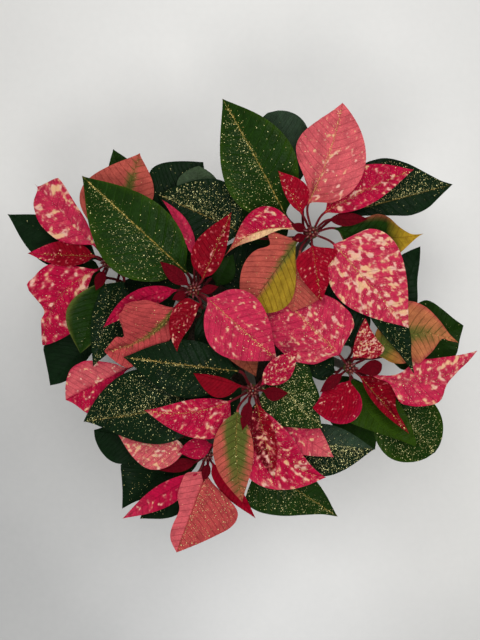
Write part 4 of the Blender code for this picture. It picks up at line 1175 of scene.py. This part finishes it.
def closed_skin(spec, part):
    """Points of the rings and of both ends, with a table of u, v, side (0 above, 1 below) and x of each one.

    A ring is middle + normal up on its upper side and middle - normal down on its lower one. On the petiole
    both are r cos(turn), a circle. On the blade they are half its thickness, and the midrib adds a hump of
    exp(-(x / r)^2).
    """
    u, across = part["u"], part["across"]
    bend = COLUMNS[None, :]
    r = petiole_r(spec) * PETIOLE_SLIM
    blade_share = np.clip((u + 0.04) / 0.14, 0, 1)[:, None]
    blade_share = blade_share * blade_share * (3 - 2 * blade_share)
    along = np.clip(u, 0, 1)[:, None]
    turn = np.linspace(-1, 1, len(COLUMNS))[None, :] * math.pi / 2
    round_up = r * np.cos(turn)
    sharpen = np.clip((1 - along) / 0.12, 0.15, 1)
    flat_up = BLADE_THICKNESS / 2 * (1 - np.abs(bend) ** 10) * sharpen
    rib_r = r * (1 - along) * 0.95
    rib = rib_r * np.exp(-(across / np.maximum(rib_r, 0.3)) ** 2)
    up = round_up * (1 - blade_share) + (flat_up + 0.15 * rib) * blade_share
    down = round_up * (1 - blade_share) + (flat_up + rib) * blade_share
    stalk = part["points"][:, HALF_COLUMNS][:, None] + part["right"][:, None] * (r * np.sin(turn))[..., None]
    middle = stalk * (1 - blade_share[..., None]) + part["points"] * blade_share[..., None]
    top = middle + part["normal"][:, None] * up[..., None]
    bottom = middle - part["normal"][:, None] * down[..., None]
    rings = np.concatenate([top[:-1], bottom[:-1, -2:0:-1]], axis=1)
    ends = np.stack([rings[0].mean(axis=0), part["points"][-1, HALF_COLUMNS]])
    points = np.concatenate([rings.reshape(-1, 3), ends])
    v = np.concatenate([COLUMNS, COLUMNS[-2:0:-1]])
    below = np.concatenate([np.zeros(len(COLUMNS)), np.ones(len(COLUMNS) - 2)])
    x = np.concatenate([across[:-1], across[:-1, -2:0:-1]], axis=1)
    columns = (u[:-1, None], v[None, :], below[None, :], x)
    table = np.stack([np.broadcast_to(column, x.shape) for column in columns], axis=-1)
    tail = np.array([[-1, 0, 0, 0], [1, 0, 0, 0]], float)
    return points, np.concatenate([table.reshape(-1, 4), tail]), rings.shape[:2]


rings_of_g1, points_around = closed_skin(BLADES["G1"], fine["G1"])[2]
print("leaf G1:", rings_of_g1, "rings of", points_around, "points")


# %% Numbers for the finish
def ground_colour(name, u, v):
    """The blade's colour before its pattern: the ground, changed at a side, margin, base, tip or petiole."""
    looks = LOOKS[name]
    colour = np.broadcast_to(np.array(looks["ground"], float), (len(u), 3)).copy()
    masks = {
        "left": np.clip(-v / 0.12, 0, 1),
        "right": np.clip(v / 0.12, 0, 1),
        "edge": np.clip((np.abs(v) - 0.78) / 0.2, 0, 1),
        "base": np.clip(1 - u / 0.3, 0, 1),
        "tip": np.clip((u - 0.55) / 0.3, 0, 1),
    }
    for zone, mask in masks.items():
        if zone in looks:
            colour += (np.array(looks[zone]) - colour) * mask[:, None]
    stalk = np.clip(-u / 0.05, 0, 1)[:, None]
    return colour + (np.array(STALK_RED) - colour) * stalk


def blade_numbers(name, table):
    """What the finish reads, for each point of this blade."""
    spec, looks = BLADES[name], LOOKS[name]
    u, v, below, x = table.T
    on_blade = (u > 0).astype(float)
    spacing = spec["length"] / VEIN_PAIRS
    seed = (sum(ord(letter) * 7 for letter in name) % 89) / 7
    span = np.stack([np.clip(u, 0, 1) * VEIN_PAIRS, x / spacing, np.full(len(u), seed)], axis=-1)
    spot = 1 / (1.5 * looks.get("spots", 1.0))
    marks = np.stack([looks["cream"] * on_blade, looks["veins"] * on_blade, np.full(len(u), spot)], axis=-1)
    breadth = looks.get("breadth", 0.9) * spacing
    green = looks["green"] * np.exp(-(x / breadth) ** 2) * np.clip(1.25 - u, 0, 1) * on_blade
    gilt = min(1.0, looks["gold"] / 7) * on_blade * np.clip(1.15 - u, 0, 1)
    zones = np.stack([green, below * on_blade, gilt], axis=-1)
    return dict(span=span, marks=marks, zones=zones, ground=ground_colour(name, u, v))


def add_numbers(item, numbers):
    """Stores the numbers on the mesh's points."""
    for label, values in numbers.items():
        kind, field = ("FLOAT_COLOR", "color") if label == "ground" else ("FLOAT_VECTOR", "vector")
        layer = item.data.attributes.new(label, kind, "POINT")
        if label == "ground":
            values = np.hstack([values, np.ones((len(values), 1))])
        layer.data.foreach_set(field, values.astype(np.float32).ravel())


a4_tip = ground_colour("A4", np.array([1.0]), np.array([0.0]))[0]
print("bract A4 has the colour", np.round(a4_tip, 3), "at its tip")

# %% [markdown]
# ## Flower heads and leaves as pieces
#
# In the solid model, each head's bracts are one node with the top of the flower stalk. The fine head is one
# piece too, so it replaces its node. Each green leaf is a node of its own, and gets its own piece.

# %% Blocks of points and faces
def joined(blocks):
    """Several closed skins as one list of points, one of faces and one table of numbers."""
    points, faces, numbers = [], [], {}
    count = 0
    for block_points, block_faces, block_numbers in blocks:
        points.append(block_points)
        faces += [block + count for block in block_faces]
        for label, values in block_numbers.items():
            numbers.setdefault(label, []).append(values)
        count += len(block_points)
    return np.concatenate(points), faces, {label: np.concatenate(rows) for label, rows in numbers.items()}


def blade_block(name):
    """One blade's closed skin, with its faces and numbers."""
    points, table, (rings, around) = closed_skin(BLADES[name], fine[name])
    return points, ring_faces(rings, around), blade_numbers(name, table)


def tube_block(axis, radii, around=20):
    """A closed tube round an axis, with a radius at each station: centre + r (side cos a + other sin a)."""
    axis = np.asarray(axis, float)
    radii = np.asarray(radii, float)
    tangent = unit(np.gradient(axis, axis=0))
    aside = unit(np.cross(tangent, (0.31, 0.95, 0.05)))
    other = np.cross(tangent, aside)
    turn = np.arange(around) * 2 * math.pi / around
    circle = aside[:, None] * np.cos(turn)[None, :, None] + other[:, None] * np.sin(turn)[None, :, None]
    rings = axis[:, None] + circle * radii[:, None, None]
    points = np.concatenate([rings.reshape(-1, 3), axis[:1], axis[-1:]])
    return points, ring_faces(len(axis), around)


def bare_numbers(points, colour):
    """The numbers of a stalk that carries no blade pattern."""
    count = len(points)
    span = np.stack([points[:, 2] / 7, points[:, 0] / 7, np.zeros(count)], axis=-1)
    marks = np.tile([0.0, 0.0, 1.0], (count, 1))
    return dict(span=span, marks=marks, zones=np.zeros((count, 3)), ground=np.tile(colour, (count, 1)))


print("bract A1 is a block of", len(blade_block("A1")[0]), "points")


# %% Putting the pieces in
def head_piece(stem):
    """All bracts of one head, grown on the top of its flower stalk."""
    x, y, top = HEADS[stem]
    heights, radii = stalk_profile(top)
    rise = np.linspace(heights[0], heights[-1], 18)
    width = np.interp(rise, heights, radii)
    width[-1] -= 0.5
    points, faces = tube_block([(x, y, z) for z in rise], width)
    blocks = [(points, faces, bare_numbers(points, (0.07, 0.06, 0.015)))]
    for name, spec in BLADES.items():
        if spec["kind"] == "bract" and spec["stem"] == stem:
            blocks.append(blade_block(name))
    points, faces, numbers = joined(blocks)
    item = new_piece(f"bracts_{stem}_fine", points, faces, [bract_velvet])
    add_numbers(item, numbers)
    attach(item, "root")
    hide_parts(f"bracts_{stem}")
    return item


def leaf_piece(name):
    """One green or pink leaf with its petiole."""
    points, faces, numbers = joined([blade_block(name)])
    item = new_piece(f"leaf_{name}_fine", points, faces, [bract_velvet if name == "P2" else leaf_wax])
    add_numbers(item, numbers)
    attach(item, "root")
    "pink_leaf" if name == "P2" else "leaf"
    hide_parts(f"leaf_{name}")
    return item


heads = [head_piece(stem) for stem in HEADS]
leaves = [leaf_piece(name) for name, spec in BLADES.items() if spec["kind"] == "leaf"]
face_count = sum(len(piece.data.polygons) for piece in heads + leaves)
print("heads:", len(heads), "leaves:", len(leaves), "faces:", face_count)

# %% [markdown]
# ## Buds in the middle of each head
#
# The true flowers of a poinsettia are the little cups in the middle, the cyathia: green and dark red, each
# with a tuft of red at its mouth. A cup is an egg shape, so it is a profile turned round its own axis, and
# the tuft is a few short pegs. The youngest bracts round them are scales a few millimetres long. They point
# out and up at all angles, so a seeded generator varies one pointed tube.

# %% Bud skin
bud_skin = Finish("bud skin", 0.4)
_, _, bud_height = bud_skin.parts(bud_skin.attribute("span"))
speckle = bud_skin.noise(bud_skin.place(), 900.0, 2.0)
ripe = (bud_height + speckle * 0.5 - 0.25).ramp(0.35, 0.75)
bud_colour = bud_skin.mix(ripe, (0.03, 0.03, 0.006, 1), (0.1, 0.003, 0.008, 1))
mouth_share = (bud_height + speckle * 0.2).ramp(1.02, 1.12)
bud_skin.set("Base Color", bud_skin.mix(mouth_share, bud_colour, (0.3, 0.1, 0.02, 1)))
bud_skin.bump(speckle, 0.0003, 0.6)
print("finish:", bud_skin.material.name)

# %% Scales round the buds
SCALES = 11
SCALE_START = 2.4
SCALE_REACHES = (4.5, 8.0)
SCALE_RADII = (.5, .9, 1.1, .9, .5, .12)
TENDER_SHADES = (0.55, 0.95)


def scale_blocks(stem):
    """The youngest bracts round the cups: pointed tubes, each on a line out and up from the middle."""
    x, y, top = HEADS[stem]
    rng = np.random.default_rng(ord(stem))
    blocks = []
    for k in range(SCALES):
        angle = 2 * math.pi * (k + rng.uniform(-0.3, 0.3)) / SCALES
        out = np.array([math.cos(angle), math.sin(angle), 0])
        t = np.linspace(0, 1, len(SCALE_RADII))[:, None]
        reach = SCALE_START + (rng.uniform(*SCALE_REACHES) - SCALE_START) * t
        axis = np.array([x, y, top + 1.2]) + out * reach + UP * rng.uniform(1, 4) * t
        points, faces = tube_block(axis, SCALE_RADII, 8)
        shade = rng.uniform(*TENDER_SHADES)
        blocks.append((points, faces, dict(span=np.tile([0.0, 0.0, shade], (len(points), 1)))))
    return blocks


print("scales in head A:", len(scale_blocks("A")))

# %% Buds
CUP_R = 1.7
CUP_HEIGHT = 6.0
CUP_RING_R = 2.2
CUPS = 5


def bud_piece(stem):
    """The cups on their common cushion, each with three pegs at its mouth, and the scales round them."""
    x, y, top = HEADS[stem]
    foot = top + GAP
    blocks = scale_blocks(stem)
    points, faces = tube_block([(x, y, foot + z) for z in (0, 0.5, 1.1, 1.6)], [3.5, 3.6, 3.2, 2.4])
    blocks.append((points, faces, dict(span=np.zeros((len(points), 3)))))
    for k in range(CUPS):
        angle = 2 * math.pi * k / CUPS + math.radians(x + y)
        cx, cy = x + CUP_RING_R * math.cos(angle), y + CUP_RING_R * math.sin(angle)
        height = CUP_HEIGHT * (1 - 0.12 * (k % 3))
        t = np.linspace(0, 1, 11)
        lean = 0.35 * t[:, None] * np.array([math.cos(angle), math.sin(angle), 0])
        axis = np.array([cx, cy, foot + 0.6]) + t[:, None] * UP * (height - 0.6) + lean
        radii = np.interp(t, [0, .12, .35, .62, .82, .93, 1], [.9, 1.35, CUP_R, 1.6, 1.15, 1.2, .7])
        points, faces = tube_block(axis, radii, 12)
        share = (points[:, 2:] - foot) / height
        blocks.append((points, faces, dict(span=np.hstack([0 * share, 0 * share, share * 0.95]))))
        for peg in range(3):
            way = angle + 2.1 * peg
            mouth = axis[-1] + 0.35 * np.array([math.cos(way), math.sin(way), 0])
            rise = [mouth - 0.4 * UP, mouth + 0.25 * UP, mouth + 0.7 * UP]
            points, faces = tube_block(rise, [.22, .3, .2], 6)
            ripeness = 1.1 if peg else 0.9
            blocks.append((points, faces, dict(span=np.tile([0.0, 0.0, ripeness], (len(points), 1)))))
    points, faces, numbers = joined(blocks)
    item = new_piece(f"cyathia_{stem}_fine", points, faces, [bud_skin])
    add_numbers(item, numbers)
    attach(item, "root")
    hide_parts(f"cyathia_{stem}")
    return item


buds = [bud_piece(stem) for stem in HEADS]
print("bud clusters:", len(buds))

# %% [markdown]
# ## Trunk and branches
#
# The trunk is woody and grey-brown, and its branches turn green with red streaks towards the heads. They
# are tubes round the same lines as in the solid model. Old leaf scars thicken them in places, which a
# little periodic swelling of the radius gives.

# %% Bark
bark = Finish("bark", 0.7)
_, _, bark_z = bark.parts(bark.place())
drawn_out = bark.node("ShaderNodeMapping", {}, {"Vector": bark.place(), "Scale": (1, 1, 0.25)})
streaks = bark.noise(drawn_out, 700.0, 3.0)
young = (bark_z + streaks * 0.03).ramp(0.15, 0.24)
woody = bark.mix(streaks, (0.055, 0.045, 0.025, 1), (0.17, 0.14, 0.085, 1))
tender = bark.mix(streaks, (0.02, 0.028, 0.006, 1), (0.055, 0.02, 0.012, 1))
bark.set("Base Color", bark.mix(young, woody, tender))
bark.bump(streaks, 0.0008, 0.6)
print("finish:", bark.material.name)

# %% Stems
TRUNK_BASE_R = 6.5
TRUNK_TOP_R = 5.5
TRUNK_FOOT = 60.0
SOIL_TOP = 103.0
SOIL_MOUND = 3.0
LEAF_SCAR = 0.05

heights = np.array([TRUNK_FOOT + GAP, SOIL_TOP + SOIL_MOUND, 122, TRUNK_TOP - 4, TRUNK_TOP])
rise = np.linspace(heights[0], heights[-1], 40)
girth = np.interp(rise, heights, [TRUNK_BASE_R, TRUNK_BASE_R, 5.9, TRUNK_TOP_R, 3.6])
girth = np.minimum(girth, TRUNK_BASE_R) * (1 - 0.03 * np.cos(rise * 0.9) ** 2)
trunk = tube_block([(0, 0, z) for z in rise], girth, 24)
blocks = [(*trunk, {})]
for stem in HEADS:
    axis = branch(stem, 48)
    radii = np.linspace(BRANCH_R, STEM_R, 48) * (1 + LEAF_SCAR * np.sin(np.arange(48) * 1.3) ** 8)
    blocks.append((*tube_block(axis, radii, 18), {}))
points, faces, _ = joined(blocks)
stems = new_piece("stems_fine", points, faces, [bark])
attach(stems, "root")
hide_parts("stems")
print("stems:", len(stems.data.polygons), "faces")

# %% [markdown]
# ## The nursery pot and its soil
#
# The photo hides the pot, so it is the plain brown plastic pot that such plants are sold in: a tapered wall,
# a thicker band at the rim, and drain holes. It is a profile turned round the axis. The solid model's pot has
# 36 sides, and this one has enough to look round.

# %% Turning a profile
def turned(profile, around, rise=None):
    """A profile (radius, z) turned round the Z axis: (r cos a, r sin a, z). Both its ends lie on the axis."""
    profile = np.asarray(profile, float)
    turn = np.arange(around) * 2 * math.pi / around
    r, z = profile[1:-1, 0][:, None], profile[1:-1, 1][:, None]
    rings = np.stack([r * np.cos(turn), r * np.sin(turn), z + 0 * turn], axis=-1)
    if rise is not None:
        rings[..., 2] += rise(rings[..., 0], rings[..., 1], rings[..., 2])
    ends = np.array([[0, 0, profile[0, 1]], [0, 0, profile[-1, 1]]])
    return np.concatenate([rings.reshape(-1, 3), ends]), ring_faces(len(profile) - 2, around)


def soft_corners(profile, reach=0.45):
    """Rounds each corner of a profile with three points: near it, on its inner side, and past it."""
    profile = np.asarray(profile, float)
    before = unit(profile[:-2] - profile[1:-1])
    after = unit(profile[2:] - profile[1:-1])
    corner = profile[1:-1]
    middle = corner + (before + after) * reach * 0.29
    parts = np.stack([corner + before * reach, middle, corner + after * reach], axis=1)
    return np.concatenate([profile[:1], parts.reshape(-1, 2), profile[-1:]])


print("a square corner becomes", len(soft_corners([(0, 0), (9, 0), (9, 9)])) - 2, "points")

# %% Pot plastic
pot_plastic = Finish("pot plastic", 0.42)
scuffs = pot_plastic.noise(pot_plastic.place(), 60.0, 4.0, 0.65)
pot_grain = pot_plastic.noise(pot_plastic.place(), 1500.0, 2.0)
dust = scuffs.ramp(0.55, 0.8)
pot_plastic.set("Base Color", pot_plastic.mix(dust * 0.35, (0.19, 0.075, 0.045, 1), (0.3, 0.17, 0.12, 1)))
pot_plastic.set("Roughness", 0.4 + dust * 0.25)
pot_plastic.bump(pot_grain, 0.0002, 0.25)
print("finish:", pot_plastic.material.name)

# %% Pot
POT_TOP_R = 65.0
POT_BASE_R = 49.0
POT_HEIGHT = 116.0
POT_WALL = 2.0
POT_FLOOR = 2.5
POT_RIM = 15.0
POT_RIM_STEP = 1.6
POT_CHAMFER = 1.5


def pot_wall_r(z):
    """The pot's outer radius at a height, under its rim: a straight line from its base to its top."""
    return POT_BASE_R + (POT_TOP_R - POT_RIM_STEP - POT_BASE_R) * z / POT_HEIGHT


rim = POT_HEIGHT - POT_RIM
pot_profile = [(0, 0), (POT_BASE_R - POT_CHAMFER, 0), (pot_wall_r(POT_CHAMFER), POT_CHAMFER),
               (pot_wall_r(rim), rim), (POT_TOP_R - 0.6, rim), (POT_TOP_R, rim + 1.2),
               (POT_TOP_R, POT_HEIGHT - 1), (POT_TOP_R - 1, POT_HEIGHT),
               (pot_wall_r(POT_HEIGHT) - POT_WALL, POT_HEIGHT), (pot_wall_r(rim) - POT_WALL, rim),
               (pot_wall_r(POT_FLOOR) - POT_WALL, POT_FLOOR), (0, POT_FLOOR)]
pot_points, pot_faces = turned(soft_corners(pot_profile), 120)
pot = new_piece("pot_fine", pot_points, pot_faces, [pot_plastic])
print("the pot before its holes are drilled:", len(pot.data.polygons), "faces")

# %% Drain holes
DRAIN_HOLES = 6
DRAIN_R = 5.0
DRAIN_RING_R = 36.0


def drill(body, places, radius, depth):
    """Cuts round holes through a body with boolean modifiers, and bakes the result into its mesh."""
    cutters = []
    for x, y in places:
        points, faces = tube_block([(x, y, -depth), (x, y, depth)], [radius, radius], 32)
        cutters.append(new_piece("cutter", points, faces, []))
        cut = body.modifiers.new("cut", "BOOLEAN")
        cut.object = cutters[-1]
        cut.solver = "EXACT"
    drilled = bpy.data.meshes.new_from_object(body.evaluated_get(bpy.context.evaluated_depsgraph_get()))
    body.modifiers.clear()
    body.data = drilled
    for cutter in cutters:
        bpy.data.objects.remove(cutter)


spots = np.arange(DRAIN_HOLES) * 2 * math.pi / DRAIN_HOLES
drill(pot, [(DRAIN_RING_R * math.cos(a), DRAIN_RING_R * math.sin(a)) for a in spots], DRAIN_R, POT_FLOOR + 2)
pot.data.shade_smooth()
pot.data.set_sharp_from_angle(angle=math.radians(35))
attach(pot, "root")
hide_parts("pot")
print("pot:", len(pot.data.polygons), "faces")

# %% [markdown]
# ## Potting soil
#
# Moist peat with fibres and crumbs fills the pot to under its rim. Its open top is a fine grid raised by a
# few crossed waves of different lengths, and the finish adds the crumbs.

# %% Peat
peat = Finish("peat", 0.95)
crumbs = peat.cells(peat.place(), 420.0)
fibres = peat.noise(peat.place(), 260.0, 5.0, 0.7)
peat_tone = crumbs.ramp(0.1, 0.6) * 0.5 + fibres * 0.5
peat.set("Base Color", peat.mix(peat_tone, (0.012, 0.008, 0.005, 1), (0.075, 0.048, 0.03, 1)))
peat.bump(crumbs * 0.6 + fibres * 0.6, 0.0016, 0.9)
print("finish:", peat.material.name)


# %% Soil
def clods(x, y, z):
    """Clods: the solid model's two crossed ripples on the open top, and two finer ones."""
    r = np.hypot(x, y)
    open_top = ((z > SOIL_TOP - 1) & (r > TRUNK_BASE_R + GAP + 1)).astype(float)
    wide = 1.1 * np.sin(0.31 * x + 0.9) * np.cos(0.27 * y) + 0.7 * np.sin(0.5 * y)
    narrow = 0.4 * np.sin(1.7 * x + 0.6 * y) * np.sin(1.4 * y) + 0.25 * np.sin(2.9 * x) * np.cos(3.1 * y + x)
    return open_top * (wide + narrow * np.clip((58 - r) / 6, 0, 1))


hole = TRUNK_BASE_R + GAP
soil_floor = POT_FLOOR + GAP
edge = [(pot_wall_r(z) - POT_WALL - GAP, z) for z in (soil_floor, SOIL_TOP - 2)]
mound = [(r, SOIL_TOP + SOIL_MOUND * (1 - r / POT_TOP_R)) for r in np.linspace(57, 8.5, 40)]
well = [(hole, SOIL_TOP + SOIL_MOUND), (hole, TRUNK_FOOT), (0, TRUNK_FOOT)]
soil_points, soil_faces = turned([(0, soil_floor)] + edge + mound + well, 128, clods)
soil = new_piece("soil_fine", soil_points, soil_faces, [peat])
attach(soil, "root")
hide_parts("soil")
print("soil:", len(soil.data.polygons), "faces")

# %% [markdown]
# ## Glitter
#
# The plant was sprayed with glue and sprinkled with glitter: gold along the midribs and pale silver-gold on
# one half of many leaves. A flake is a tiny metal plate. Each one here is a flat diamond of a few faces that
# lies on its leaf with a small tilt of its own, so that some catch the light and others don't, and a painted
# glint makes each flake's colour brighter or duller at random as well. A seeded generator strews them, with
# the number that each blade's look asks for.

# %% Metal flakes
def flake_finish(name, dull, bright, roughness):
    """Metal flakes, each lighter or darker than the next by a painted glint stored on its points."""
    metal = Finish(name, roughness)
    shade, _, _ = metal.parts(metal.attribute("shade"))
    metal.set("Base Color", metal.mix(shade, dull, bright))
    metal.skin.inputs["Metallic"].default_value = 0.15
    return metal


gold = flake_finish("gold flakes", (0.42, 0.24, 0.03, 1), (1.0, 0.78, 0.26, 1), 0.4)
silver = flake_finish("pale flakes", (0.2, 0.17, 0.03, 1), (0.95, 0.88, 0.38, 1), 0.4)
print("finishes:", gold.material.name, "and", silver.material.name)

# %% Where the flakes lie
GOLD_SHARE = 2.5
SILVER_SHARE = 2.2
strew = np.random.default_rng(7)


def on_surface(part, u_at, v_at):
    """Points and normals on a blade's upper side at the places (u, v), between its grid's points."""
    u, points = part["u"], part["points"]
    i = np.clip(np.searchsorted(u, u_at) - 1, 0, len(u) - 2)
    j = np.clip(np.searchsorted(COLUMNS, v_at) - 1, 0, len(COLUMNS) - 2)
    fu = ((u_at - u[i]) / (u[i + 1] - u[i]))[:, None]
    fv = ((v_at - COLUMNS[j]) / (COLUMNS[j + 1] - COLUMNS[j]))[:, None]
    a, b, c, d = points[i, j], points[i, j + 1], points[i + 1, j + 1], points[i + 1, j]
    at = (a * (1 - fv) + b * fv) * (1 - fu) + (d * (1 - fv) + c * fv) * fu
    normal = unit(np.cross(b - a, d - a))
    return at + normal * (BLADE_THICKNESS / 2), normal


def silver_places(name):
    """Random places on both halves, as many as the look says, and most of them close to the midrib."""
    spec = BLADES[name]
    places = []
    for half, density in enumerate(LOOKS[name]["silver"]):
        u = np.linspace(0.02, 0.98, 60)
        width = outline(spec, u, half)
        area = float(width.mean()) * spec["length"] / 100
        count = strew.poisson(SILVER_SHARE * density * area)
        at = np.interp(strew.random(count), np.cumsum(width) / width.sum(), u)
        across = strew.random(count) ** 1.7 * 0.92 + 0.01
        places.append(np.stack([at, across * (1 if half else -1)], axis=-1))
    return np.concatenate(places)


def gold_places(name):
    """Random places close to the midrib, thinning out towards the tip."""
    spec = BLADES[name]
    count = strew.poisson(GOLD_SHARE * LOOKS[name]["gold"] * spec["length"] / 10)
    u = strew.random(count) ** 1.25 * 0.9 + 0.03
    v = strew.standard_t(2.5, count) * 0.6 / np.maximum(outline(spec, u, 0), 6)
    return np.stack([u, np.clip(v, -0.8, 0.8)], axis=-1)


print("blades with gold along the midrib:", sum(looks["gold"] > 0 for looks in LOOKS.values()))

# %% Glitter
GOLD_R = 0.32
SILVER_R = 0.36
FLAKE_THICKNESS = 0.14


def flakes(name, find, finish, size):
    """Makes one piece of all the flakes that find strews over the blades, and counts them.

    A flake is a rim of four points round its centre, with one point above and one below: a very flat diamond.
    Most are small and a few are large: the radius is size (0.6 + 1.1 t^3) for t even between 0 and 1.
    """
    centres, normals = [], []
    for label in BLADES:
        at = find(label)
        centre, normal = on_surface(fine[label], at[:, 0], at[:, 1])
        centres.append(centre)
        normals.append(normal)
    centre, normal = np.concatenate(centres), np.concatenate(normals)
    count = len(centre)
    normal = unit(normal + strew.normal(0, 0.28, (count, 3)))
    aside = unit(np.cross(normal, strew.normal(0, 1, (count, 3))))
    other = np.cross(normal, aside)
    radius = (size * (0.6 + 1.1 * strew.random(count) ** 3))[:, None, None]
    turn = np.arange(4) * math.pi / 2
    rim_points = aside[:, None] * np.cos(turn)[None, :, None] + other[:, None] * np.sin(turn)[None, :, None]
    rim_points = centre[:, None] + rim_points * radius
    tops = np.stack([centre - normal * FLAKE_THICKNESS / 2, centre + normal * FLAKE_THICKNESS / 2], axis=1)
    points = np.concatenate([rim_points, tops], axis=1).reshape(-1, 3)
    k = np.arange(4)
    after = (k + 1) % 4
    over = np.stack([k, after, np.full(4, 5)], axis=-1)
    under = np.stack([after, k, np.full(4, 4)], axis=-1)
    pattern = np.concatenate([over, under])
    faces = (pattern[None] + 6 * np.arange(count)[:, None, None]).reshape(-1, 3)
    item = new_piece(name, points, [faces], [finish], smooth=False)
    # Painted glint: a random number per flake brightens or dulls its colour, as if it caught the light.
    shade = np.repeat(strew.random(count) ** 1.6, 6)
    add_numbers(item, dict(shade=np.stack([shade, shade, shade], axis=-1)))
    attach(item, "root")
    return count


gold_count = flakes("glitter_gold", gold_places, gold, GOLD_R)
silver_count = flakes("glitter_silver", silver_places, silver, SILVER_R)
print("flakes:", gold_count, "gold and", silver_count, "silver")
